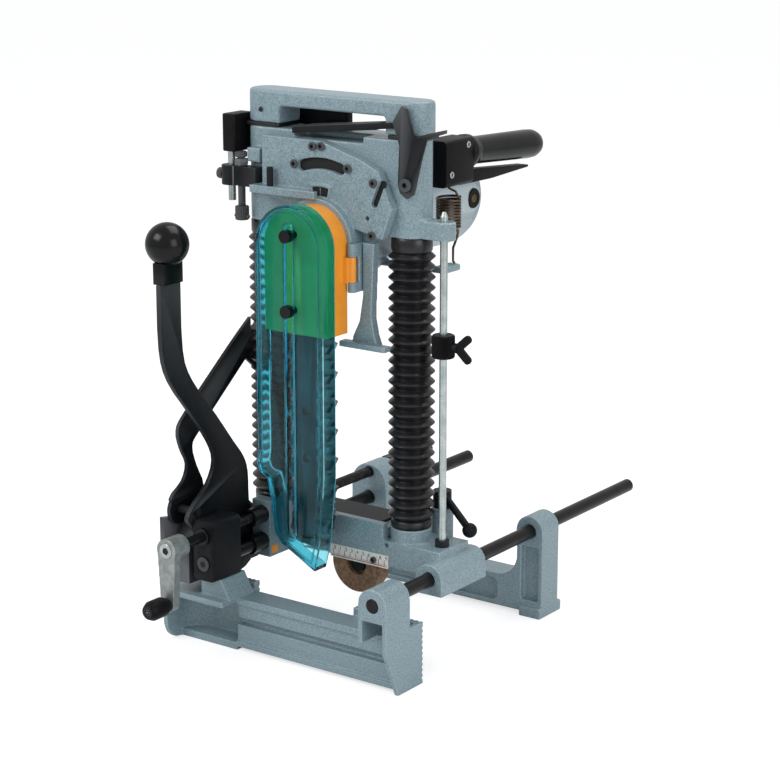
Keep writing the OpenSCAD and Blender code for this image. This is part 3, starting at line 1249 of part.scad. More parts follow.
module link_bar() placed(black_paint) difference() {
    plate_x(link_x, link_t) {
        polygon(smooth(spread(link_shares, link_l, link_l, pin1_y, pin1_z), 3));
        translate([pin1_y, pin1_z]) circle(link_foot_r);
        translate([pin2_y, pin2_z]) circle(link_end_r);
        translate([pin2_y, pin2_z]) rotate(atan2(pin2_z - pin1_z, pin2_y - pin1_y))
            translate([-link_neck_share * link_l, -link_neck_w / 2]) square([link_neck_share * link_l,
                link_neck_w]);
    }
    rod_x(link_x - over, pin1_y, pin1_z, link_t + 2 * over, pin1_d + 2 * slide);
    rod_x(link_x - over, pin2_y, pin2_z, link_t + 2 * over, eye_d);
}

front_jaw();
guide_bars();
screw_bearing();
bar_sleeves();
lead_screw();
crank_arm();
crank_knob();
rear_jaw();
screw_nut();
base_casting();
columns();
bellows();
column_springs();
lever_bracket();
bracket_bolts();
scale_strip();
scale_screw();
chip_disc();
disc_bolt();
depth_rod();
rod_nut();
base_strap();
lock_lever();
stopper();
wing_screw();
head_casting();
gear_cover();
cover_screws();
carry_handle();
handle_gasket();
motor_housing();
field_core();
brush_caps();
switch_housing();
rear_grip();
return_spring();
oil_tank();
adjuster_rod();
adjuster_clamp();
adjuster_screws();
chain_bar();
chain();
chip_chute();
hinge_pins();
trigger();
trigger_pin();
latch_plate();
latch_bar();
latch_bolt();
cover_front();
cover_rear();
cover_knobs();
chain_guard();
sprocket();
output_shaft();
armature();
lever_arm();
lever_ball();
lever_pins();
link_bar();
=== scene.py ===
# %% [markdown]
# # Dressing a chain mortiser
# A chain mortiser plunges a toothed chain into timber to cut a square-ended slot. Its head slides on two
# columns, and the columns stand on a carriage that runs on two guide bars between two clamping jaws. The
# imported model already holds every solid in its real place, so this lesson only gives them the looks of the
# real object: cast edges, enamel, rubber, clear plastic and steel.

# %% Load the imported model
import math
import bmesh
import bpy
from mathutils import Matrix, Vector


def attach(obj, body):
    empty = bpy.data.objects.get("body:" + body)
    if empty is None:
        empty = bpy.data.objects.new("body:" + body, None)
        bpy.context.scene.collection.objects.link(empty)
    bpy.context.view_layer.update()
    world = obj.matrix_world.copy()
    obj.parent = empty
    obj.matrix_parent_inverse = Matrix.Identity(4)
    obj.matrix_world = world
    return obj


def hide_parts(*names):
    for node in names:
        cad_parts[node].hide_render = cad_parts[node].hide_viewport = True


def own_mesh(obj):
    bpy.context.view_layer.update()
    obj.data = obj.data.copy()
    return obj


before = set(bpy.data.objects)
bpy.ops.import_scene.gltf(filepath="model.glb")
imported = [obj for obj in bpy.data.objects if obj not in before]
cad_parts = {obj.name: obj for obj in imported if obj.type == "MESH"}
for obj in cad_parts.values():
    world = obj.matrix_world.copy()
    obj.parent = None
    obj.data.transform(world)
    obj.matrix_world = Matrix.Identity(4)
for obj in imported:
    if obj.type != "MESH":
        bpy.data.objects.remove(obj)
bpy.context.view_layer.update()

# %% [markdown]
# ## Units and places
# The drawing of the machine counts in millimetres from its front feet, and Blender counts in metres from the
# middle. One helper turns the first into the second, so every later cell can use the sizes that a ruler
# would give. Places that several cells share get a name here.

# %% Places in millimetres
MM = 0.001
MIDDLE_X, MIDDLE_Y = 1, 190
SPROCKET_X, SPROCKET_Z = -12, 437
COLUMN_X, COLUMN_Y = {"left": -104, "right": 80}, 118
SCREW_X, SCREW_Z = -89.5, 129

def at(x, y, z):
    return Vector((x - MIDDLE_X, y - MIDDLE_Y, z)) * MM

print("sprocket", [round(v, 3) for v in at(SPROCKET_X, 0, SPROCKET_Z)], "in metres")

# %% [markdown]
# ## Camera
# The camera stands where the photograph was taken from: in front, to the right and a little above. It is so
# far away that it takes a long lens, and upright edges stay nearly parallel.

# %% Camera
def linked(name, data):
    thing = bpy.data.objects.new(name, data)
    bpy.context.scene.collection.objects.link(thing)
    return thing

camera_data = bpy.data.cameras.new("camera")
camera_data.lens = 101.2
camera_data.sensor_width = 36
camera = linked("camera", camera_data)
camera.location = (1.353, -1.873, 0.860)
camera.rotation_euler = (math.radians(75.37), 0, math.radians(35.86))
bpy.context.scene.camera = camera
print("camera", round(camera_data.lens, 1), "mm")

# %% [markdown]
# ## Node trees in a few lines
# A finish, a spring, a bellows or a row of screws follows a rule, so a node tree with named sizes makes it.
# The class below only saves typing: it adds a node, fills its sockets and returns one of its outputs. A tree
# that makes a mesh ends in Realize Instances and Set Material, because the export drops instances.

# %% A short hand for node trees
SOCKET_SORTS = {int: "NodeSocketInt", float: "NodeSocketFloat", tuple: "NodeSocketColor"}

class Tree:
    def __init__(self, kind, name, takes_points=False, **sizes):
        self.group = bpy.data.node_groups.new(name, kind)
        if takes_points:
            self.socket("Geometry", "INPUT", "NodeSocketGeometry")
        self.inputs = self.group.nodes.new("NodeGroupInput")
        self.outputs = self.group.nodes.new("NodeGroupOutput")
        for label, value in sizes.items():
            self.socket(label, "INPUT", SOCKET_SORTS[type(value)]).default_value = value

    def socket(self, label, side, sort):
        return self.group.interface.new_socket(name=label, in_out=side, socket_type=sort)

    def size(self, label):
        return self.inputs.outputs[label]

    def feed(self, spot, value):
        if isinstance(value, bpy.types.NodeSocket):
            self.group.links.new(value, spot)
        else:
            spot.default_value = value

    def node(self, kind, pick=0, settings=None, **sockets):
        made = self.group.nodes.new(kind)
        for key, value in (settings or {}).items():
            setattr(made, key, value)
        for key, value in sockets.items():
            self.feed(made.inputs[key.replace("_", " ")], value)
        return made.outputs[pick]

    def math(self, operation, first, second=0.0):
        made = self.group.nodes.new("ShaderNodeMath")
        made.operation = operation
        self.feed(made.inputs[0], first)
        self.feed(made.inputs[1], second)
        return made.outputs[0]

    def split(self, vector):
        made = self.group.nodes.new("ShaderNodeSeparateXYZ")
        self.feed(made.inputs[0], vector)
        return made.outputs

    def blend(self, factor, low, high):
        made = self.group.nodes.new("ShaderNodeMix")
        made.data_type = "RGBA"
        for place, value in ((0, factor), (6, low), (7, high)):
            self.feed(made.inputs[place], value)
        return made.outputs[2]

    def both(self, *meshes):
        made = self.group.nodes.new("GeometryNodeJoinGeometry")
        for mesh in meshes:
            self.group.links.new(mesh, made.inputs[0])
        return made.outputs[0]

    def end(self, label, value, sort):
        self.socket(label, "OUTPUT", sort)
        self.feed(self.outputs.inputs[label], value)

    def finish(self, mesh, material):
        real = self.node("GeometryNodeRealizeInstances", Geometry=mesh)
        set_material = self.node("GeometryNodeSetMaterial", Geometry=real, Material=material)
        self.end("Geometry", set_material, "NodeSocketGeometry")

print("socket sorts", sorted(SOCKET_SORTS.values()))

# %% [markdown]
# ## Mottled colour
# No paint or metal is one flat colour. This group drifts between a light and a dark shade with a soft noise.
# It reads Object coordinates, so the drift stays fixed to the piece when the piece moves.

# %% Mottle
mottle = Tree("ShaderNodeTree", "mottle", Light=(0.5, 0.5, 0.5, 1.0), Dark=(0.3, 0.3, 0.3, 1.0), Scale=60.0)
spot = mottle.node("ShaderNodeTexCoord", "Object")
cloud = mottle.node("ShaderNodeTexNoise", Vector=spot, Scale=mottle.size("Scale"), Detail=5.0, Roughness=0.6)
share = mottle.node("ShaderNodeMapRange", Value=cloud, From_Min=0.36, From_Max=0.62)
mottle.end("Color", mottle.blend(share, mottle.size("Dark"), mottle.size("Light")), "NodeSocketColor")
print("group", mottle.group.name)

# %% [markdown]
# ## Pebbled skin
# Hammered enamel dries in small round pools, and moulded plastic has a fine grain. Both are round cells with
# a finer noise on top, at different sizes, so one group with a scale and a depth serves both.

# %% Pebble
pebble = Tree("ShaderNodeTree", "pebble", Scale=900.0, Depth=0.3, Height=0.0004)
spot = pebble.node("ShaderNodeTexCoord", "Object")
cells = pebble.node("ShaderNodeTexVoronoi", settings={"feature": "SMOOTH_F1"}, Vector=spot,
                    Scale=pebble.size("Scale"), Smoothness=0.6)
speckle = pebble.node("ShaderNodeTexNoise", Vector=spot, Scale=pebble.size("Scale"), Detail=3.0)
skin = pebble.math("ADD", pebble.math("MULTIPLY", cells, 0.7), pebble.math("MULTIPLY", speckle, 0.5))
bump = pebble.node("ShaderNodeBump", Strength=pebble.size("Depth"), Distance=pebble.size("Height"),
                   Height=skin)
pebble.end("Normal", bump, "NodeSocketVector")
pebble.end("Value", skin, "NodeSocketFloat")
print("group", pebble.group.name)

# %% [markdown]
# ## Worn and lit edges
# Enamel rubs off first where hands and timber touch it, along the outer edges, and the same edges catch the
# light. Pointiness is high there, so it mixes in a light colour that is partly the bare metal and partly a
# painted highlight.
# It needs no coordinates, because it follows the mesh itself.

# %% Edge wear and painted highlight
edge_wear_and_highlight = Tree("ShaderNodeTree", "edge wear and painted highlight", Color=(0.5, 0.5, 0.5, 1.0), Worn=(0.8, 0.8, 0.8, 1.0), Amount=0.5)
# wear and painted highlight: the more pointed an edge, the more of the light edge colour it gets
convex = edge_wear_and_highlight.node("ShaderNodeNewGeometry", "Pointiness")
rubbed_and_lit = edge_wear_and_highlight.node("ShaderNodeMapRange", Value=convex, From_Min=0.52, From_Max=0.6)
rubbed_and_lit = edge_wear_and_highlight.math("MULTIPLY", rubbed_and_lit, edge_wear_and_highlight.size("Amount"))
edge_wear_and_highlight.end("Color", edge_wear_and_highlight.blend(rubbed_and_lit, edge_wear_and_highlight.size("Color"), edge_wear_and_highlight.size("Worn")), "NodeSocketColor")
print("group", edge_wear_and_highlight.group.name)

# %% [markdown]
# ## Brush lines
# Ground and turned steel shows fine lines from the tool. A noise that is stretched along the depth of the
# machine, the way the guide bars run, gives them.

# %% Brush
brush = Tree("ShaderNodeTree", "brush lines", Across=1500.0, Along=30.0, Depth=0.2)
spot = brush.split(brush.node("ShaderNodeTexCoord", "Object"))
stretched = brush.node("ShaderNodeCombineXYZ", X=brush.math("MULTIPLY", spot[0], brush.size("Across")),
                       Y=brush.math("MULTIPLY", spot[1], brush.size("Along")),
                       Z=brush.math("MULTIPLY", spot[2], brush.size("Across")))
lines = brush.node("ShaderNodeTexNoise", Vector=stretched, Scale=1.0, Detail=2.0)
bump = brush.node("ShaderNodeBump", Strength=brush.size("Depth"), Distance=0.0002, Height=lines)
brush.end("Normal", bump, "NodeSocketVector")
brush.end("Value", lines, "NodeSocketFloat")
print("group", brush.group.name)

# %% [markdown]
# ## One recipe for painted, moulded and metal surfaces
# The Principled shader stays in the material itself, and the groups feed its colour, roughness and normal.
# A number that is the same all over is set on the shader's own socket.

# %% Recipe
COAT_ROUGHNESS = 0.12

def rgb(code):
    def linear(v):
        return v / 12.92 if v <= 0.04045 else ((v + 0.055) / 1.055) ** 2.4
    return tuple(linear(int(code[i:i + 2], 16) / 255) for i in (0, 2, 4)) + (1.0,)

def place_group(tree, made, **sockets):
    node = tree.nodes.new("ShaderNodeGroup")
    node.node_tree = made.group
    for key, value in sockets.items():
        if isinstance(value, bpy.types.NodeSocket):
            tree.links.new(value, node.inputs[key])
        else:
            node.inputs[key].default_value = value
    return node.outputs

def surface(name, light, dark, rough, spread=0.1, metal=0.0, mottling=60.0, grain=900.0, depth=0.2,
            height=0.0004, worn_and_lit=None, amount=0.4, coat=0.0, lines=False, **sockets):
    material = bpy.data.materials.new(name)
    material.use_nodes = True
    tree = material.node_tree
    shader = tree.nodes["Principled BSDF"]
    colour = place_group(tree, mottle, Light=rgb(light), Dark=rgb(dark), Scale=mottling)["Color"]
    # outer edges take a light colour that is wear and painted highlight together
    if worn_and_lit:
        colour = place_group(tree, edge_wear_and_highlight, Color=colour, Worn=rgb(worn_and_lit), Amount=amount)["Color"]
    tree.links.new(colour, shader.inputs["Base Color"])
    if lines:
        texture = place_group(tree, brush, Depth=depth)
    else:
        texture = place_group(tree, pebble, Scale=grain, Depth=depth, Height=height)
    tree.links.new(texture["Normal"], shader.inputs["Normal"])
    spots = tree.nodes.new("ShaderNodeMapRange")
    tree.links.new(texture["Value"], spots.inputs["Value"])
    spots.inputs["To Min"].default_value = rough - spread
    spots.inputs["To Max"].default_value = rough + spread
    tree.links.new(spots.outputs[0], shader.inputs["Roughness"])
    shader.inputs["Metallic"].default_value = metal
    shader.inputs["Coat Weight"].default_value = coat
    shader.inputs["Coat Roughness"].default_value = COAT_ROUGHNESS
    for key, value in sockets.items():
        shader.inputs[key.replace("_", " ")].default_value = value
    return material

print("mid grey is", round(rgb("808080")[0], 3), "in linear light")

# %% [markdown]
# ## Enamel, moulded plastic and rubber
# The castings wear a blue-grey hammered enamel whose bright edges are partly wear and partly a painted
# highlight. The brackets and levers are enamelled black, and their edges show grey where they rub together
# and where a painted highlight lies. Handles, tank and switch are moulded in black plastic, the turned grip
# and the knobs are polished, and the bellows are rubber.

# %% Enamel, plastic and rubber
# the pale edge colour is bare metal and painted highlight at once
enamel = surface("hammered enamel", "8CA1A9", "687E88", 0.34, mottling=620, grain=760, depth=0.6,
                 height=0.0006, worn_and_lit="D3DEE4", amount=0.55, coat=0.3)
black_enamel = surface("black enamel", "101216", "0B0C0F", 0.42, 0.06, mottling=90, grain=1500, depth=0.15,
                       worn_and_lit="3A3B3F", amount=0.3, Specular_IOR_Level=0.15)
# grey edges: wear and painted highlight on black enamel
black_enamel_worn_and_lit = surface("black enamel with worn and highlighted edges", "111317", "0B0D10", 0.38, 0.08, mottling=90,
                     grain=1500, worn_and_lit="7C8084", amount=0.6, Specular_IOR_Level=0.18)
plastic = surface("black moulded plastic", "0E0E10", "09090B", 0.4, 0.06, mottling=120, grain=2600,
                  Specular_IOR_Level=0.14)
gloss_black = surface("polished black", "0C0D0F", "08080A", 0.2, 0.03, mottling=40, grain=700, depth=0.03,
                      Specular_IOR_Level=0.26)
rubber = surface("black rubber", "17171A", "0F0F11", 0.3, 0.08, mottling=150, grain=1200, depth=0.12)
print(enamel.name, "over", black_enamel.name)

# %% [markdown]
# ## Metals
# Each metal has its own way of shining. Zinc plate is bright and cool, the blackened bars are dark, the cast
# crank is dull, and the steel of the chain is mottled by its oil. Turned, ground and stacked metal takes the
# brush lines, and the rest takes the pebbled skin.

# %% Metals
black_bar = surface("blackened steel", "242325", "18181A", 0.3, 0.08, metal=0.6, mottling=50, depth=0.12,
                    lines=True)
# painted highlight: a grey finish for the lit top of the latch's bar
painted_lit_top = surface("grey plate painted as a lit top", "5C5D5E", "48494B", 0.45, 0.08, metal=0.4, mottling=300, lines=True)
zinc = surface("zinc plate", "C3CBC9", "A9B2B1", 0.27, 0.08, metal=0.9, mottling=80, lines=True)
# the light edge colours of the crank and the chain steel are wear and painted highlight
crank_metal = surface("die-cast aluminium", "A2A8A6", "888E8C", 0.38, 0.08, metal=0.75, mottling=120,
                      grain=1400, worn_and_lit="E4E8E7")
tool_steel = surface("oiled tool steel", "6E7376", "3E4245", 0.34, metal=0.85, mottling=140, worn_and_lit="A9AFB2",
                     amount=0.5)
bar_steel = surface("ground bar steel", "50585E", "39414A", 0.32, 0.08, metal=0.8, mottling=30, lines=True)
spring_steel = surface("dark spring steel", "6B5C4C", "453A30", 0.38, 0.08, metal=0.8, mottling=90)
laminations = surface("stacked laminations", "5F5B55", "3F3C38", 0.5, metal=0.7, lines=True)
brass = surface("brass", "6E5A34", "4E4128", 0.35, 0.08, metal=0.8, mottling=300)
print("brightest metal", zinc.name)

# %% [markdown]
# ## Coloured covers, the scale and the chip disc
# The covers are bright moulded plastic with a thin gloss, so they take a little coat. The scale is white
# with black and red ink, the disc is pressed fibre, and a nearly black matt finish is painted shade for the
# inside of open holes.

# %% Colours and inks
green = surface("green cover", "63BE66", "53AE58", 0.3, 0.06, mottling=25, grain=1600, depth=0.08, coat=0.15)
orange = surface("orange cover", "F9A22C", "F0922A", 0.32, 0.06, mottling=20, grain=1600, depth=0.08,
                 coat=0.15)
white_face = surface("white scale", "ECE8E2", "DAD5CE", 0.45, 0.05, mottling=200, grain=1800, depth=0.08)
red_ink = surface("red ink", "B4262C", "8E1E24", 0.5, 0.05)
ink = surface("black ink", "26262A", "1C1C20", 0.5, 0.05, mottling=300)
fibre = surface("pressed fibre", "9A7A5E", "6F5440", 0.7, mottling=260, depth=0.5)
# painted shade: a near-black finish for the inside of holes and sockets
dark = surface("painted shade in openings", "0C0D0F", "08090A", 0.75, 0.05, mottling=200)
print(len(bpy.data.materials), "materials")

# %% [markdown]
# ## Clear plastic
# The guard is clear teal plastic. Its faces look nearly clear and its edges deep blue, because light that
# runs along a wall passes more plastic. A tint on the surface can't do that, so the surface stays clear and
# a Volume Absorption takes the red out of the light with every millimetre.

# %% Clear teal
TEAL_DENSITY = 110
teal = surface("clear teal", "A8E4EA", "9CDFE6", 0.08, 0.03, mottling=12, grain=500, depth=0.02)
teal_nodes = teal.node_tree
glass = teal_nodes.nodes["Principled BSDF"]
glass.inputs["Transmission Weight"].default_value = 1.0
glass.inputs["IOR"].default_value = 1.32
inside = teal_nodes.nodes.new("ShaderNodeVolumeAbsorption")
inside.inputs["Color"].default_value = (0.03, 0.72, 0.84, 1)
inside.inputs["Density"].default_value = TEAL_DENSITY
teal_nodes.links.new(inside.outputs[0], teal_nodes.nodes["Material Output"].inputs["Volume"])
print("teal density", TEAL_DENSITY, "per metre")

# %% [markdown]
# ## Floor and backdrop
# The floor is plain and pale. The camera sees floor and world nearly white, also through the clear guard,
# while the light that both throw back on the machine stays soft. So both ask for the kind of ray first.

# %% Floor and world
FLOOR_HALF, FLOOR_STRENGTH, FLOOR_GLOW = 40.0, 1.65, 0.42
SKY_LIGHT = 0.62

def mesh_piece(name, points, faces):
    shape = bpy.data.meshes.new(name)
    shape.from_pydata([tuple(p) for p in points], [], faces)
    shape.update()
    return linked(name, shape)

def seen_by_camera(tree):
    path = tree.nodes.new("ShaderNodeLightPath")
    seen = tree.nodes.new("ShaderNodeMath")
    seen.operation = "MAXIMUM"
    tree.links.new(path.outputs["Is Camera Ray"], seen.inputs[0])
    tree.links.new(path.outputs["Is Transmission Ray"], seen.inputs[1])
    return seen.outputs[0]

def pale_floor(colour):
    material = bpy.data.materials.new("pale floor")
    material.use_nodes = True
    tree = material.node_tree
    shader = tree.nodes["Principled BSDF"]
    shader.inputs["Base Color"].default_value = colour
    shader.inputs["Roughness"].default_value = 0.9
    light = tree.nodes.new("ShaderNodeEmission")
    light.inputs["Strength"].default_value = FLOOR_STRENGTH
    glow = tree.nodes.new("ShaderNodeMath")
    glow.operation = "MULTIPLY"
    tree.links.new(seen_by_camera(tree), glow.inputs[0])
    glow.inputs[1].default_value = FLOOR_GLOW
    mixed = tree.nodes.new("ShaderNodeMixShader")
    for place, socket in enumerate((glow.outputs[0], shader.outputs[0], light.outputs[0])):
        tree.links.new(socket, mixed.inputs[place])
    tree.links.new(mixed.outputs[0], tree.nodes["Material Output"].inputs[0])
    return material

corners = [(x * FLOOR_HALF, y * FLOOR_HALF, 0) for x, y in ((-1, -1), (1, -1), (1, 1), (-1, 1))]
floor = mesh_piece("floor", corners, [(0, 1, 2, 3)])
floor.data.materials.append(pale_floor((0.8, 0.81, 0.82, 1)))

world = bpy.data.worlds.new("studio")
bpy.context.scene.world = world
world.use_nodes = True
sky = world.node_tree
level = sky.nodes.new("ShaderNodeMapRange")
sky.links.new(seen_by_camera(sky), level.inputs["Value"])
level.inputs["To Min"].default_value = SKY_LIGHT
sky.links.new(level.outputs[0], sky.nodes["Background"].inputs["Strength"])
sky.nodes["Background"].inputs["Color"].default_value = (1, 1, 1, 1)
print("floor", 2 * FLOOR_HALF, "m wide, world", world.name)

# %% [markdown]
# ## Lamps
# Three large lamps make broad highlights without hard shadows: one in front on the left, a weaker one on
# the right and one above that draws the upper edges.

# %% Lamps
LAMP_AIM = Vector((0, 0, 0.3))

def lamp(name, place, size, watts):
    data = bpy.data.lights.new(name, "AREA")
    data.shape = "RECTANGLE"
    data.size, data.size_y = size
    data.energy = watts
    made = linked(name, data)
    made.location = place
    made.rotation_euler = (LAMP_AIM - Vector(place)).to_track_quat("-Z", "Y").to_euler()

lamp("key", (-0.9, -1.9, 1.9), (1.4, 1.0), 26)
lamp("fill", (2.2, -0.7, 1.0), (1.2, 1.4), 14)
lamp("top", (0.2, 0.6, 2.2), (1.6, 1.2), 18)
bpy.context.scene.view_settings.view_transform = "Standard"
print(len(bpy.data.lights), "lamps")

# %% [markdown]
# ## From modifiers to a dressed piece
# Almost every piece is made the same way: a mesh or a curve is built, its modifiers are applied, and the
# plain mesh that results gets its finish and rides on one of the bodies.

# %% Bake, join and dress
def baked(piece):
    bpy.context.view_layer.update()
    shape = bpy.data.meshes.new_from_object(piece.evaluated_get(bpy.context.evaluated_depsgraph_get()))
    shape.transform(piece.matrix_world)
    name = piece.name
    bpy.data.objects.remove(piece)
    return linked(name, shape)

def joined(name, parts):
    whole = bmesh.new()
    for part in parts:
        part = baked(part)
        whole.from_mesh(part.data)
        bpy.data.objects.remove(part)
    shape = bpy.data.meshes.new(name)
    whole.to_mesh(shape)
    whole.free()
    return linked(name, shape)

def outward(piece):
    mesh = bmesh.new()
    mesh.from_mesh(piece.data)
    bmesh.ops.remove_doubles(mesh, verts=mesh.verts, dist=1e-7)
    bmesh.ops.recalc_face_normals(mesh, faces=mesh.faces)
    mesh.to_mesh(piece.data)
    mesh.free()
    return piece

def smooth(piece, angle=40):
    piece.data.shade_smooth()
    piece.data.set_sharp_from_angle(angle=math.radians(angle))
    return piece

def triangles(piece):
    return sum(len(p.vertices) - 2 for p in piece.data.polygons)

def dress(piece, body, finish, slot, *nodes):
    piece.data.materials.clear()
    piece.data.materials.append(finish)
    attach(piece, body)
    if nodes:
        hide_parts(*nodes)
    print(piece.name, triangles(piece), "triangles, on", body)
    return piece

# %% [markdown]
# ## Cast pieces
# A casting has no sharp edge: the sand or die rounds every outer edge and fills every inner corner. Beveling
# edge by edge would only do the outer ones. Rebuilding the solid from small voxels and smoothing it a few
# times does both at once, and the flat walls stay where they are. A last step removes the triangles that
# flat walls don't need.

def copy_of(node, name):
    mesh = bmesh.new()
    mesh.from_mesh(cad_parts[node].data)
    bmesh.ops.remove_doubles(mesh, verts=mesh.verts, dist=2e-6)
    mesh.verts.index_update()
    points = [v.co.copy() for v in mesh.verts]
    piece = mesh_piece(name, points, [[v.index for v in f.verts] for f in mesh.faces])
    mesh.free()
    return piece

def without(piece, cutter):
    cut = piece.modifiers.new("cut", "BOOLEAN")
    cut.operation = "DIFFERENCE"
    cut.object = cutter
    piece = baked(piece)
    bpy.data.objects.remove(cutter)
    return piece

def cast(node, body, finish, slot, voxel, rounds, most, cut=None, fill=None):
    piece = copy_of(node, node + "_cast")
    if cut:
        piece = without(piece, cut)
    if fill:
        piece = joined(node + "_cast", [piece, *fill])
    remesh = piece.modifiers.new("voxels", "REMESH")
    remesh.mode = "VOXEL"
    remesh.voxel_size = voxel * MM
    soften = piece.modifiers.new("soften", "SMOOTH")
    soften.factor = 0.5
    soften.iterations = rounds
    piece = baked(piece)
    thin = piece.modifiers.new("thin", "DECIMATE")
    thin.ratio = min(1.0, most / max(1, triangles(piece)))
    piece = baked(piece)
    piece.data.shade_smooth()
    return dress(piece, body, finish, slot, node)

cast("front_jaw", "frame", enamel, "casting", voxel=1.0, rounds=3, most=160000)
cast("rear_jaw", "rear jaw", enamel, "casting", voxel=1.1, rounds=5, most=60000)
cast("base_casting", "carriage", enamel, "casting", voxel=1.0, rounds=4, most=90000)
cast("head_casting", "head", enamel, "casting", voxel=1.2, rounds=5, most=110000)

# %% [markdown]
# ## Gear case cover
# The window of the cover is shaped like a kidney with a raised rim, and its outline is two arcs round the
# sprocket. The solid's window is square, so one block cuts its rim flush, another fills it, and the new rim
# is laid on the face. A filled curve makes such a plate from its outlines alone.

# %% Gear cover with its rim
FLAT_TURN = Matrix.Rotation(math.radians(90), 4, "X")

def arc(cx, cz, radius, start, end, steps):
    turns = (math.radians(start + (end - start) * k / steps) for k in range(steps + 1))
    return [(cx + radius * math.cos(a), cz + radius * math.sin(a)) for a in turns]

def kidney(inner, outer, reach, steps):
    return (arc(SPROCKET_X, SPROCKET_Z, inner, 90 + reach, 90 - reach, steps)
            + arc(SPROCKET_X, SPROCKET_Z, outer, 90 - reach, 90 + reach, steps))

def flat(name, outlines, front, thick, edge=0.0):
    """A plate seen from the front: each outline is x and z in millimetres, its edge first, then its holes."""
    shape = bpy.data.curves.new(name, "CURVE")
    shape.dimensions = "2D"
    shape.fill_mode = "BOTH"
    shape.extrude = (thick / 2 - edge) * MM
    shape.bevel_depth = edge * MM
    shape.bevel_resolution = 2
    shape.offset = -edge * MM
    for outline in outlines:
        line = shape.splines.new("POLY")
        line.points.add(len(outline) - 1)
        for point, (x, z) in zip(line.points, outline):
            point.co = (x * MM, z * MM, 0, 1)
        line.use_cyclic_u = True
    plate = linked(name, shape)
    plate.matrix_world = Matrix.Translation(at(0, front + thick / 2, 0)) @ FLAT_TURN
    return outward(baked(plate))

def block(name, low, high):
    (x0, y0, z0), (x1, y1, z1) = low, high
    points = [at(x, y, z) for z in (z0, z1) for y in (y0, y1) for x in (x0, x1)]
    sides = [(0, 1, 3, 2), (4, 5, 7, 6), (0, 1, 5, 4), (2, 3, 7, 6), (0, 2, 6, 4), (1, 3, 7, 5)]
    return outward(mesh_piece(name, points, sides))

rim = flat("window_rim", [kidney(43.5, 59, 13, 12), kidney(46.5, 56, 11, 12)], 83.6, 2.8, 0.4)
flush = block("flush", (-26, 80, 483), (2, 86, 502))
plug = block("plug", (-24, 85.9, 484), (0, 91.5, 501))
cast("gear_cover", "head", enamel, "casting", voxel=0.8, rounds=3, most=110000, cut=flush, fill=[plug, rim])

# %% [markdown]
# ## Handle, chute and crank
# The carry handle is rounded all over, as a hand needs, so it is smoothed many times. The chute, the crank
# and the wing screw are smaller, and smaller voxels keep their form.

# %% Handle, chute, crank and wing
cast("carry_handle", "head", enamel, "casting", voxel=1.1, rounds=46, most=50000)
cast("chip_chute", "head", enamel, "casting", voxel=0.8, rounds=4, most=24000)
cast("crank_arm", "screw", crank_metal, "steel", voxel=0.6, rounds=4, most=40000)
cast("wing_screw", "wing", black_enamel, "black_paint", voxel=0.5, rounds=5, most=16000)

# %% [markdown]
# ## Plates and machined pieces
# Steel plate keeps crisp edges with only a thin bright line where the edge was broken, and moulded covers
# have a larger round. A bevel of 0.3 to 2.6 millimetres on a copy of each solid gives both. Flat faces are
# merged first, so the bevel meets no stray edge.

# %% Break the edges
SHARP_ANGLE = 32

def broken(node, body, width, finish, slot, segments=2):
    piece = copy_of(node, node + "_piece")
    mesh = bmesh.new()
    mesh.from_mesh(piece.data)
    bmesh.ops.dissolve_limit(mesh, angle_limit=math.radians(1), verts=mesh.verts, edges=mesh.edges)
    mesh.to_mesh(piece.data)
    mesh.free()
    edge = piece.modifiers.new("edge", "BEVEL")
    edge.width = width * MM
    edge.segments = segments
    edge.limit_method = "ANGLE"
    edge.angle_limit = math.radians(SHARP_ANGLE)
    return dress(smooth(baked(piece)), body, finish, slot, node)

broken("lever_arm", "lever", 0.9, black_enamel_worn_and_lit, "black_paint", 3)
broken("link_bar", "link", 0.7, black_enamel_worn_and_lit, "black_paint", 3)
broken("lever_bracket", "carriage", 1.0, black_enamel_worn_and_lit, "black_paint", 3)
broken("screw_bearing", "frame", 1.0, black_enamel, "black_paint")
broken("latch_plate", "latch", 0.5, black_enamel_worn_and_lit, "black_paint")
broken("latch_bar", "latch", 0.6, black_enamel, "black_paint")
broken("oil_tank", "head", 1.6, plastic, "black_plastic", 3)
broken("adjuster_clamp", "head", 2.2, black_enamel_worn_and_lit, "black_paint", 4)
broken("switch_housing", "head", 1.5, plastic, "black_plastic", 3)
broken("trigger", "switch", 1.5, plastic, "black_plastic", 3)
broken("cover_front", "cover", 2.6, green, "green_cover", 4)
broken("cover_rear", "cover", 0.8, orange, "orange_cover", 3)
broken("chain_guard", "guard", 0.9, teal, "clear_guard", 3)
broken("chain_bar", "head", 0.5, bar_steel, "chain_steel")
broken("chain", "head", 0.3, tool_steel, "chain_steel", 1)
broken("lever_ball", "lever", 1.2, gloss_black, "black_plastic", 3)
broken("crank_knob", "knob", 1.0, plastic, "black_plastic", 3)
broken("handle_gasket", "head", 0.6, rubber, "rubber")

# %% [markdown]
# ## Turned shapes
# Rings, screws and knobs come off a lathe, so their mesh is an outline that is carried round an axis. Knurls
# are a small wave on the radius. The function works in millimetres and merges the poles and the seam.

# %% Lathe
TURNS = {"z": Matrix.Identity(3), "y": Matrix.Rotation(math.radians(-90), 3, "X"),
         "x": Matrix.Rotation(math.radians(90), 3, "Y"), "-x": Matrix.Rotation(math.radians(-90), 3, "Y")}

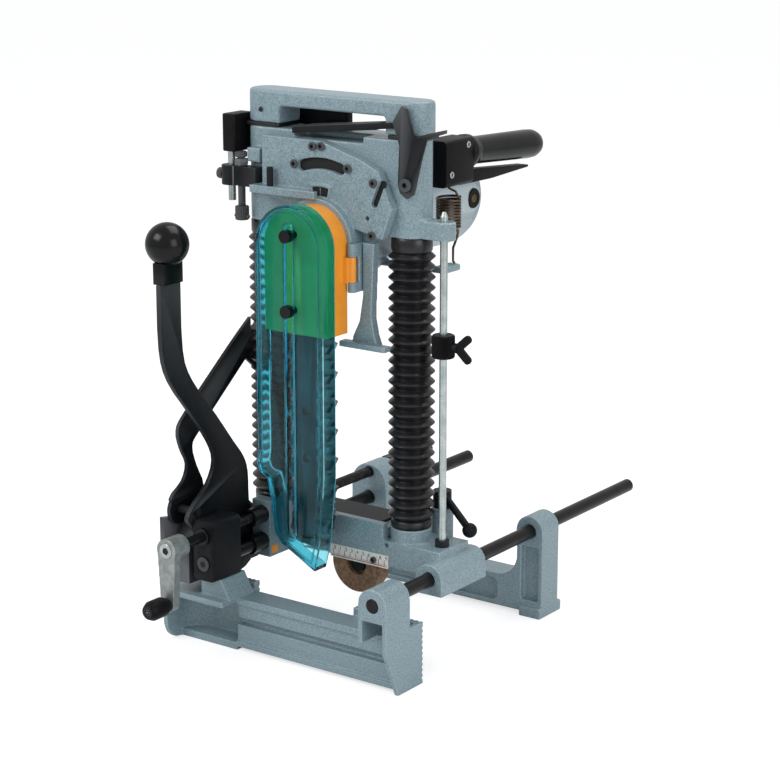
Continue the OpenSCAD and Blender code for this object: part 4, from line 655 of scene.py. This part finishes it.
def lathe(name, outline, centre, axis="z", steps=48, ring=False, flutes=0, deep=0.0):
    """A solid of revolution: outline is radius and distance along the axis, in millimetres, from centre.
    A ring joins its last point to its first, and flutes are shallow grooves along the axis."""
    points, faces, rings = [], [], []
    turn = TURNS[axis] if isinstance(axis, str) else axis
    for radius, height in outline:
        if radius == 0:
            rings.append([len(points)])
            points.append(turn @ Vector((0, 0, height * MM)))
            continue
        rings.append(list(range(len(points), len(points) + steps)))
        for a in (math.tau * k / steps for k in range(steps)):
            cut = radius - deep * abs(math.sin(flutes * a / 2)) ** 0.5 if flutes else radius
            points.append(turn @ (Vector((math.cos(a) * cut, math.sin(a) * cut, height)) * MM))
    for low, high in zip(rings, rings[1:] + (rings[:1] if ring else [])):
        if len(low) == 1 and len(high) == 1:
            continue
        for k in range(steps):
            n = (k + 1) % steps
            if len(low) == 1:
                faces.append((low[0], high[n], high[k]))
            elif len(high) == 1:
                faces.append((low[k], low[n], high[0]))
            else:
                faces.append((low[k], low[n], high[n], high[k]))
    return outward(mesh_piece(name, [p + centre for p in points], faces))

print("lathe axes", sorted(TURNS))

# %% [markdown]
# ## Bellows
# The columns are kept clean by rubber bellows, whose folds are a wave wound round a tube. A grid whose rows
# follow the wave makes one: the tree turns each grid point's across into an angle and its along into a
# height. A thin solid wall is given to the result, and two turned rings close it at the foot and the top.

# %% The tree of the folds
FOLD_STEPS, SAME_SPOT = 12, 0.00001
folds = Tree("GeometryNodeTree", "bellows", Height=0.296, Root=0.0189, Depth=0.0056, Folds=26, Turns=64)
rows = folds.math("ADD", folds.math("MULTIPLY", folds.size("Folds"), float(FOLD_STEPS)), 1.0)
grid = folds.node("GeometryNodeMeshGrid", Size_X=1.0, Size_Y=1.0,
                  Vertices_X=folds.math("ADD", folds.size("Turns"), 1.0), Vertices_Y=rows)
across, along = folds.split(folds.node("GeometryNodeInputPosition"))[:2]
turn = folds.math("MULTIPLY", folds.math("ADD", across, 0.5), math.tau)
share = folds.math("ADD", along, 0.5)
phase = folds.math("MULTIPLY", share, folds.size("Folds"))
zigzag = folds.math("SUBTRACT", folds.math("MULTIPLY", folds.math("FRACT", phase), 2.0), 1.0)
ramp = folds.math("SUBTRACT", 1.0, folds.math("ABSOLUTE", zigzag))
swing = folds.math("COSINE", folds.math("MULTIPLY", phase, math.tau))
wave = folds.math("SUBTRACT", 0.5, folds.math("MULTIPLY", swing, 0.5))
bulge = folds.math("ADD", folds.math("MULTIPLY", ramp, 0.7), folds.math("MULTIPLY", wave, 0.3))
radius = folds.math("ADD", folds.size("Root"), folds.math("MULTIPLY", bulge, folds.size("Depth")))
spot = folds.node("ShaderNodeCombineXYZ", X=folds.math("MULTIPLY", folds.math("COSINE", turn), radius),
                  Y=folds.math("MULTIPLY", folds.math("SINE", turn), radius),
                  Z=folds.math("MULTIPLY", share, folds.size("Height")))
moved = folds.node("GeometryNodeSetPosition", Geometry=grid, Position=spot)
folds.finish(folds.node("GeometryNodeMergeByDistance", Geometry=moved, Distance=SAME_SPOT), rubber)
print("tree", folds.group.name)

# %% Two bellows
BOOT_LOW, BOOT_HIGH = 137, 447
FOOT_LINE = [(15.4, 0), (20.6, 0), (21.4, 0.8), (21.4, 6.6), (20.8, 8.2), (19.4, 9.6), (17.2, 10), (15.4, 10)]
CUFF_LINE = [(15.4, -16.4), (18.4, -16.4), (20.2, -15.4), (21.4, -13.2), (21.4, -1.4), (20.6, -0.1),
             (15.4, -0.1)]

def grown(name, tree, place=(0, 0, 0), points=(), turn=(0, 0, 0), **sizes):
    """A mesh of loose points, or none, that a tree fills; its sizes go to each socket's identifier."""
    piece = mesh_piece(name, points, [])
    piece.location = place
    piece.rotation_euler = turn
    filler = piece.modifiers.new("nodes", "NODES")
    filler.node_group = tree.group
    for item in tree.group.interface.items_tree:
        if item.in_out == "INPUT" and item.name in sizes:
            filler[item.identifier] = sizes[item.name]
    return baked(piece)

for label, x in COLUMN_X.items():
    ribs = grown(f"ribs_{label}", folds, at(x, COLUMN_Y, BOOT_LOW + 9),
                 Height=(BOOT_HIGH - BOOT_LOW - 24) * MM)
    wall = outward(ribs).modifiers.new("wall", "SOLIDIFY")
    wall.thickness = 1.0 * MM
    foot = lathe(f"foot_{label}", FOOT_LINE, at(x, COLUMN_Y, BOOT_LOW), ring=True)
    cuff = lathe(f"cuff_{label}", CUFF_LINE, at(x, COLUMN_Y, BOOT_HIGH), ring=True)
    boot = smooth(joined(f"bellows_{label}", [ribs, foot, cuff]), 50)
    dress(boot, "carriage", rubber, "rubber", *(["bellows"] if label == "left" else []))
    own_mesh(boot)

# %% [markdown]
# ## Springs
# A spring is a circle swept along a spiral, so its tree has two curves and one sweep. The lifting springs
# stand inside the columns.

# %% Coil tree and lifting springs
coil = Tree("GeometryNodeTree", "coil", Turns=22.0, Radius=0.0074, Height=0.4, Wire=0.0012, Steps=24,
            Sides=10)
spiral = coil.node("GeometryNodeCurveSpiral", Resolution=coil.size("Steps"), Rotations=coil.size("Turns"),
                   Start_Radius=coil.size("Radius"), End_Radius=coil.size("Radius"),
                   Height=coil.size("Height"))
section = coil.node("GeometryNodeCurvePrimitiveCircle", Resolution=coil.size("Sides"),
                    Radius=coil.size("Wire"))
wire = coil.node("GeometryNodeCurveToMesh", Curve=spiral, Profile_Curve=section, Fill_Caps=True)
coil.finish(wire, spring_steel)

SPRING_LOW, SPRING_HIGH = 141, 543
for label, x in COLUMN_X.items():
    lift = grown(f"lift_spring_{label}", coil, at(x, COLUMN_Y, SPRING_LOW + 1.5), Turns=22.0, Radius=0.0074,
                 Height=(SPRING_HIGH - SPRING_LOW - 3) * MM, Wire=0.0012)
    smooth(outward(lift), 80)
    dress(lift, "carriage", spring_steel, "spring_steel", *(["column_springs"] if label == "left" else []))
    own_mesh(lift)

# %% [markdown]
# ## Return spring
# A short, tight spring hangs behind the right column boss by two hooks. The coil comes from the same tree,
# and each hook is a wire along a few points, which a curve with a round section makes.

# %% Return spring with its hooks
HOOK_X, HOOK_Y, HOOK_LOW, HOOK_HIGH, HOOK_WIRE = 88, 172, 447, 481, 1.3

def tube(name, points, radius):
    """A round wire along points in millimetres."""
    shape = bpy.data.curves.new(name, "CURVE")
    shape.dimensions = "3D"
    shape.bevel_depth = radius * MM
    shape.bevel_resolution = 4
    shape.use_fill_caps = True
    line = shape.splines.new("POLY")
    line.points.add(len(points) - 1)
    for point, place in zip(line.points, points):
        point.co = (*at(*place), 1)
    return baked(linked(name, shape))

tight = grown("tight_coil", coil, at(HOOK_X, HOOK_Y, HOOK_LOW), Turns=11.0, Radius=0.0121,
              Height=(HOOK_HIGH - HOOK_LOW) * MM, Wire=HOOK_WIRE * MM, Steps=32)
top_line = [(12.1, HOOK_HIGH), (9, 487), (0, 490), (0, 493)]
low_line = [(12.1, HOOK_LOW), (11, 440), (6, 428), (6, 414), (8, 412)]
hooks = [tube(name, [(HOOK_X + x, HOOK_Y, z) for x, z in line], HOOK_WIRE)
         for name, line in (("hook_top", top_line), ("hook_low", low_line))]
hanging = smooth(outward(joined("return_spring_wire", [tight, *hooks])), 80)
dress(hanging, "head", spring_steel, "spring_steel", "return_spring")

# %% [markdown]
# ## Lead screw
# The screw that draws the rear jaw has a thread, two collars and plain ends. A thread is one more spiral,
# laid in the root of a turned core, so the coil tree makes it with its height along the screw.

# %% Lead screw
SCREW_FRONT, SCREW_RADIUS, THREAD_START = -72, 5.4, 102

def collar(start):
    return [(SCREW_RADIUS, start), (8.4, start), (9, start + 0.6), (9, start + 2.4), (8.4, start + 3),
            (SCREW_RADIUS, start + 3)]

core_line = [(0, 0), (4.6, 0), (SCREW_RADIUS, 0.8), *collar(47.2), *collar(97.3), (SCREW_RADIUS, 466.2),
             (4.6, 467), (0, 467)]
core = lathe("screw_core", core_line, at(SCREW_X, SCREW_FRONT, SCREW_Z), "y", 32)
thread = grown("screw_thread", coil, at(SCREW_X, SCREW_FRONT + THREAD_START, SCREW_Z),
               turn=(math.radians(-90), 0, 0), Turns=90.0, Radius=0.0052, Height=0.362, Wire=0.0008, Steps=16,
               Sides=6)
dress(smooth(joined("lead_screw_thread", [core, outward(thread)])), "screw", black_bar, "steel", "lead_screw")

# %% [markdown]
# ## Stopper and adjuster screws
# The depth stopper is a ring with sixty fine flutes. The adjuster on the left has a stem with a knurled knob,
# a nut, a knurled top, a cross pin and a side screw. All are turned shapes, and the nut has six steps.

# %% Stopper
nut = lathe("stopper_knurl", [(4.2, 0), (10.8, 0), (12, 1.4), (12, 22.6), (10.8, 24), (4.2, 24)],
            at(119.5, 118, 325), steps=120, ring=True, flutes=60, deep=0.5)
dress(smooth(nut, 30), "stop", plastic, "black_plastic", "stopper")

# %% Adjuster screws
ADJUSTER_X, ADJUSTER_Y = -121, 90
adjuster = [
    lathe("adjuster_stem", [(0, 0), (3.6, 0), (4, 0.6), (4, 55), (3.2, 56), (0, 56)],
          at(ADJUSTER_X, ADJUSTER_Y, 462), steps=24),
    lathe("adjuster_knob", [(0, 0), (6.4, 0), (7.5, 1), (7.5, 14), (6.6, 15), (0, 15)],
          at(ADJUSTER_X, ADJUSTER_Y, 447), steps=72, flutes=24, deep=0.45),
    lathe("adjuster_nut", [(0, 0), (7, 0), (7.6, 0.8), (7.6, 6), (6.8, 7), (0, 7)],
          at(ADJUSTER_X, ADJUSTER_Y, 505.3), steps=6),
    lathe("adjuster_top", [(0, 0), (5.6, 0), (6.4, 0.8), (6.4, 5), (5.4, 6), (0, 6)],
          at(ADJUSTER_X, ADJUSTER_Y, 514), steps=48, flutes=16, deep=0.4),
    lathe("cross_pin", [(0, -9.6), (1.5, -9.6), (1.9, -9.2), (1.9, 9.2), (1.5, 9.6), (0, 9.6)],
          at(ADJUSTER_X, ADJUSTER_Y, 451), "x", 16),
    lathe("side_screw", [(0, -6), (5, -6), (6, -5), (6, 0), (5.2, 1), (0, 1)],
          at(-146, ADJUSTER_Y, 494.5), "x", 60, flutes=20, deep=0.4),
]
dress(smooth(joined("adjuster_set", adjuster), 35), "head", black_enamel_worn_and_lit, "black_paint", "adjuster_screws")

# %% [markdown]
# ## Rear grip and brush caps
# The rear grip is turned from polished black plastic, narrow behind its collar and fuller towards the end.
# The caps over the motor's brushes are plastic discs with a hollow, and a brass contact shows in it.

# %% Rear grip
GRIP_LINE = [(0, 0), (17, 0), (17.8, 0.8), (17.8, 9), (17, 10.4), (15.1, 12.4), (14.5, 20), (15.1, 70),
             (15.7, 122), (15.2, 133), (13.2, 139), (9.5, 142), (4, 143), (0, 143)]
grip = lathe("grip_turned", GRIP_LINE, at(84, 201, 524), Matrix.Rotation(math.radians(-93), 3, "X"), 56)
dress(smooth(grip, 50), "head", gloss_black, "black_plastic", "rear_grip")

# %% Brush caps and contacts
CAP_LINE = [(0, -8), (10.4, -8), (11, -7.4), (11, -0.9), (10, 0), (5.6, 0), (5.2, -1), (0, -1)]
CONTACT_LINE = [(0, -1.4), (4.9, -1.4), (4.9, -0.6), (4.3, -0.2), (0, -0.2)]
CAP_X, CAP_Y, CAP_Z = 59.2, 282, 460

def on_both_sides(name, line, steps):
    return [lathe(f"{name}_{side}", line, at(SPROCKET_X + side * CAP_X, CAP_Y, CAP_Z), axis, steps)
            for side, axis in ((-1, "-x"), (1, "x"))]

caps = joined("brush_cap_pair", on_both_sides("cap", CAP_LINE, 40))
dress(smooth(caps, 30), "head", plastic, "black_plastic", "brush_caps")
contacts = joined("brush_contacts", on_both_sides("contact", CONTACT_LINE, 28))
dress(smooth(contacts, 30), "head", brass, "black_plastic")

# %% [markdown]
# ## Socket heads
# Every small screw has a round head with a six-sided socket. The tree fills the ring between a circle and a
# hexagon, lifts it to the head's height, closes it below and sets one copy on each point. A dark disc in
# each socket is painted shade that makes it look deep.

# %% The tree of the heads
head = Tree("GeometryNodeTree", "socket heads", True, Width=0.009, Height=0.003, Socket=0.004, Tip=0.0,
            Swing=0.0)
rim_line = head.node("GeometryNodeCurvePrimitiveCircle", Resolution=28,
                     Radius=head.math("MULTIPLY", head.size("Width"), 0.5))
hex_line = head.node("GeometryNodeCurvePrimitiveCircle", Resolution=6,
                     Radius=head.math("MULTIPLY", head.size("Socket"), 0.5))
washer = head.node("GeometryNodeFillCurve", Curve=head.both(rim_line, hex_line))
raised = head.node("GeometryNodeExtrudeMesh", Mesh=washer, Offset_Scale=head.size("Height"), Individual=False)
shut = head.both(raised, head.node("GeometryNodeFlipFaces", Mesh=washer))
solid = head.node("GeometryNodeMergeByDistance", Geometry=shut, Distance=SAME_SPOT)
facing = head.node("ShaderNodeCombineXYZ", X=head.size("Tip"), Z=head.size("Swing"))
aimed = head.node("GeometryNodeTransform", Geometry=solid,
                  Rotation=head.node("FunctionNodeEulerToRotation", Euler=facing))
spread = head.node("GeometryNodeInstanceOnPoints", Points=head.size("Geometry"), Instance=aimed)
head.finish(spread, black_enamel)
print("tree", head.group.name)

# %% Front pin and heads
SOCKET_FLOOR, HEAD_EDGE = 0.8, 0.35

def heads(name, places, width, height, socket, body, finish, slot, *nodes, swing=0.0):
    made = grown(name, head, points=[at(*p) for p in places], Width=width * MM, Height=height * MM,
                 Socket=socket * MM, Tip=math.radians(90), Swing=math.radians(swing))
    edge = outward(made).modifiers.new("edge", "BEVEL")
    edge.width = HEAD_EDGE * MM
    edge.limit_method = "ANGLE"
    made = smooth(baked(made))
    disc = [(0, 0), (socket / 2, 0), (socket / 2, -SOCKET_FLOOR), (0, -SOCKET_FLOOR)]
    aim = Matrix.Rotation(math.radians(swing), 3, "Z") @ TURNS["y"]
    # painted shade: a dark disc at the bottom of each socket
    socket_shade_discs = [lathe(f"{name}_{k}", disc, at(*p), aim, 12) for k, p in enumerate(places)]
    dress(joined(name + "_sockets", socket_shade_discs), body, dark, slot)
    dress(made, body, finish, slot, *nodes)

pin = lathe("front_pin", [(0, -1), (3.5, -1), (3.5, 18.8), (2.8, 20), (0, 20)], at(-74, 79.5, 489), "z", 24)
dress(smooth(pin, 30), "head", black_enamel, "black_paint")
cover_places = [(x, 86, z) for x, z in ((-46, 514), (23, 515), (-22, 534), (-11, 535), (55, 503), (53, 449))]
heads("cover_heads", cover_places, 9, 3, 4.2, "head", black_enamel_worn_and_lit, "black_paint", "cover_screws")
heads("latch_head", [(92, 90.7, 504)], 13, 3.8, 5.4, "head", black_enamel_worn_and_lit, "black_paint", "latch_bolt")
heads("scale_head", [(48, 94.8, 99)], 7, 3, 3.4, "carriage", black_enamel_worn_and_lit, "black_paint", "scale_screw")
heads("bearing_bolt", [(SCREW_X, -21.9, 98.5)], 15.5, 0.8, 6.5, "frame", black_enamel_worn_and_lit, "black_paint")
heads("crank_cap", [(SCREW_X, -80, SCREW_Z)], 16, 0.8, 7.6, "screw", zinc, "steel")
heads("knob_cap", [(SCREW_X, -110.2, 71)], 13, 0.6, 6, "knob", black_enamel, "black_plastic")
switch_places = [(99.9, 160, 506), (99.9, 190, 534)]
heads("switch_screws", switch_places, 7, 0.9, 3, "head", zinc, "black_plastic", swing=90)

# %% [markdown]
# ## Openings of the gear case
# The slots and holes of the gear case open on an inside in shade. A thin matt black plate at the back of each
# is that shade painted, because a shadow has no depth that would show. A pale pointer stands in the window.

# %% Painted shade for the openings, and pointer
COVER_BACK, BACK_THICK = 90.2, 0.8
SLOT_RADIUS, SLOT_HALF, SLOT_REACH = 80, 5.6, math.radians(18)

def hole(x, z):
    return arc(x, z, 2.3, 0, 330, 11)

def turned(line, x, z, angle):
    c, s = math.cos(math.radians(angle)), math.sin(math.radians(angle))
    return [(x + (u * c - v * s), z + (u * s + v * c)) for u, v in line]

(right_x, end_z), (left_x, _) = [(SPROCKET_X + side * SLOT_RADIUS * math.sin(SLOT_REACH),
                                  SPROCKET_Z + SLOT_RADIUS * math.cos(SLOT_REACH)) for side in (1, -1)]
slot_line = (arc(SPROCKET_X, SPROCKET_Z, SLOT_RADIUS - SLOT_HALF, 107, 73, 12)
             + arc(right_x, end_z, SLOT_HALF, 252, 432, 8)
             + arc(SPROCKET_X, SPROCKET_Z, SLOT_RADIUS + SLOT_HALF, 73, 107, 12)
             + arc(left_x, end_z, SLOT_HALF, 108, 288, 8))
cam_line = turned(arc(0, 11, 3.7, 0, 180, 10) + arc(0, -11, 3.7, 180, 360, 10), 60, 492, -23)
# painted shade: matt black plates behind the slots, holes and window stand for the dark inside
shade_plates = [flat("slot_back", [slot_line], COVER_BACK, BACK_THICK),
         flat("window_back", [kidney(46.8, 55.7, 10.8, 10)], 85.0, 0.9),
         flat("cam_back", [cam_line], COVER_BACK, BACK_THICK),
         flat("hole_back", [hole(46.5, 466)], COVER_BACK, BACK_THICK),
         flat("handle_hole", [hole(-101, 564.5)], 98.3, BACK_THICK)]
dress(joined("slot_painted_shade", shade_plates), "head", dark, "black_paint")
pointer = flat("window_pointer", [[(-13.2, 482), (-10.8, 482), (-11.6, 492), (-12.4, 492)]], 84.4, 0.7)
dress(pointer, "head", zinc, "black_paint")

# %% [markdown]
# ## Scale
# The scale on the carriage carries black ticks with digits, and fine red ticks along a red line. Each kind
# is a row of thin boxes, so their tree is a line of points with one box on each.

# %% Ticks
INK_FACE, INK_THICK = 94.76, 0.00012
ticks = Tree("GeometryNodeTree", "ticks", Count=8, Step=0.01, Width=0.0006, Tall=0.004)
step = ticks.node("ShaderNodeCombineXYZ", X=ticks.size("Step"))
row = ticks.node("GeometryNodeMeshLine", Count=ticks.size("Count"), Offset=step)
tick = ticks.node("ShaderNodeCombineXYZ", X=ticks.size("Width"), Y=INK_THICK, Z=ticks.size("Tall"))
box = ticks.node("GeometryNodeMeshCube", Size=tick)
ticks.finish(ticks.node("GeometryNodeInstanceOnPoints", Points=row, Instance=box), ink)

tall = grown("scale_ticks", ticks, at(-6, INK_FACE, 98.2), Count=10, Step=0.0075, Width=0.0006, Tall=0.0052)
dress(tall, "carriage", ink, "scale")
fine = grown("fine_ticks", ticks, at(-8, INK_FACE, 95.2), Count=37, Step=0.002, Width=0.0004, Tall=0.0026)
red_line = grown("red_line", ticks, at(28, INK_FACE, 94.0), Count=1, Step=0.0, Width=0.073, Tall=0.0007)
dress(joined("scale_red", [fine, red_line]), "carriage", red_ink, "scale")

# %% [markdown]
# ## Digits and the orange patch
# One digit stands at each black tick. Text is a curve in Blender, so each digit is made a thin mesh, and the
# one under the scale's screw is left out. A small orange patch stands on the left side of the base.

# %% Digits and patch
DIGIT_START, DIGIT_STEP, DIGIT_TALL, INK_EDGE = -5.2, 7.5, 5.4, 0.05
SCALE_SCREW_X, SCREW_CLEAR = 48, 5
digits = []
for k in range(10):
    x = DIGIT_START + DIGIT_STEP * k
    if abs(x - SCALE_SCREW_X) <= SCREW_CLEAR:
        continue
    letters = bpy.data.curves.new(f"digit_{k}", "FONT")
    letters.body = str(k)
    letters.size = DIGIT_TALL * MM
    letters.extrude = INK_EDGE * MM
    digit = linked(f"digit_{k}", letters)
    digit.matrix_world = Matrix.Translation(at(x, INK_FACE, 101)) @ FLAT_TURN
    digits.append(baked(digit))
dress(joined("scale_digits", digits), "carriage", ink, "scale")

def rounded(piece, width, segments=1):
    edge = piece.modifiers.new("edge", "BEVEL")
    edge.width, edge.segments = width * MM, segments
    return baked(piece)

patch = rounded(block("patch", (-79.3, 80, 84.5), (-78.5, 90.5, 93)), 0.3)
dress(patch, "carriage", orange, "casting")

# %% [markdown]
# ## Beads on the guard
# The guard is pressed with a step near its edge and a raised lip round its slot. Thin beads of the same
# plastic on its face draw both lines: the step is the guard's own outline drawn inwards twice, and the lip
# is two slots, one inside the other.

# %% Guard beads
GUARD_LOW, GUARD_HALF = 97, 44
SLOT_LOW, SLOT_HIGH, BEAD_EDGE = 132, 457, 0.3
LOWER_EDGE = [(0, .35), (-.02, .31), (.02, .285), (.13, .27), (.19, .2), (.2, .17), (.24, .1), (.34, .068),
              (.84, 0), (.92, .08), (.955, .185), (1, .3)]

def pulled_in(line, deep):
    result = []
    for k, point in enumerate(line):
        point, before, after = Vector(point), Vector(line[k - 1]), Vector(line[(k + 1) % len(line)])
        sides = [Vector((-v.y, v.x)) for v in ((point - before).normalized(), (after - point).normalized())]
        middle = (sides[0] + sides[1]).normalized()
        result.append(tuple(point + middle * deep / max(0.3, middle.dot(sides[0]))))
    return result

def slot_ring(radius):
    return arc(SPROCKET_X, SLOT_HIGH, radius, 0, 180, 12) + arc(SPROCKET_X, SLOT_LOW, radius, 180, 360, 12)

left = SPROCKET_X - GUARD_HALF
guard_line = arc(SPROCKET_X, SPROCKET_Z, GUARD_HALF, 0, 180, 24) + [
    (left + a * 2 * GUARD_HALF, GUARD_LOW + b * (SPROCKET_Z - GUARD_LOW)) for a, b in LOWER_EDGE]
step = flat("guard_step", [pulled_in(guard_line, 5.5), pulled_in(guard_line, 7.5)], 30.1, 0.95, BEAD_EDGE)
lip = flat("slot_lip", [slot_ring(7.2), slot_ring(5.1)], 29.8, 1.25, BEAD_EDGE)
dress(smooth(joined("guard_beads", [step, lip])), "guard", teal, "clear_guard")

# %% [markdown]
# ## The latch's channel and the block behind the handle
# The latch's bar is a channel pressed from plate, and its top catches the light, so a thin sloping grey plate
# lies on the bar as a painted highlight.
# A black box behind the carry handle shows through its opening, above the gear case.

# %% Channel and tank arm
CHANNEL_THICK = 1.6
channel_line = [(-56, 98, 548.6), (-56, 130, 548.6), (52, 118, 560.9), (52, 98, 560.9)]
channel_points = [at(x, y, z + rise) for rise in (0, CHANNEL_THICK) for x, y, z in channel_line]
channel_sides = [(0, 1, 2, 3), (4, 5, 6, 7), (0, 1, 5, 4), (1, 2, 6, 5), (2, 3, 7, 6), (3, 0, 4, 7)]
channel = outward(mesh_piece("channel", channel_points, channel_sides))
# the grey plate paints the light that falls on the bar's top
dress(smooth(rounded(channel, 0.4)), "latch", painted_lit_top, "black_paint")
arm = block("tank_arm", (-120, 139.2, 547.2), (-18, 149.5, 566))
dress(smooth(rounded(arm, 1.6, 3)), "head", plastic, "black_plastic")

# %% [markdown]
# ## Finishes for the pieces that keep their solid
# Rods, pins, bolts and the motor's parts already have their true shape, so they only take a finish. The cell
# also lists any solid that is still without one.

# %% Finishes on the remaining solids
plain = {
    black_bar: ("guide_bars", "bar_sleeves", "screw_nut"),
    zinc: ("columns", "depth_rod", "adjuster_rod", "hinge_pins", "trigger_pin"),
    white_face: ("scale_strip",),
    black_enamel_worn_and_lit: ("bracket_bolts",),
    fibre: ("chip_disc",),
    black_enamel: ("disc_bolt", "rod_nut", "base_strap", "lock_lever", "lever_pins"),
    enamel: ("motor_housing",),
    laminations: ("field_core", "armature"),
    gloss_black: ("cover_knobs",),
    tool_steel: ("sprocket", "output_shaft"),
}
for finish, nodes in plain.items():
    for node in nodes:
        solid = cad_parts[node]
        solid.data.materials.clear()
        solid.data.materials.append(finish)
finished = [node for nodes in plain.values() for node in nodes]
left_over = [name for name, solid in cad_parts.items() if name not in finished and not solid.hide_render]
print("plain solids", len(finished), "left over", left_over)
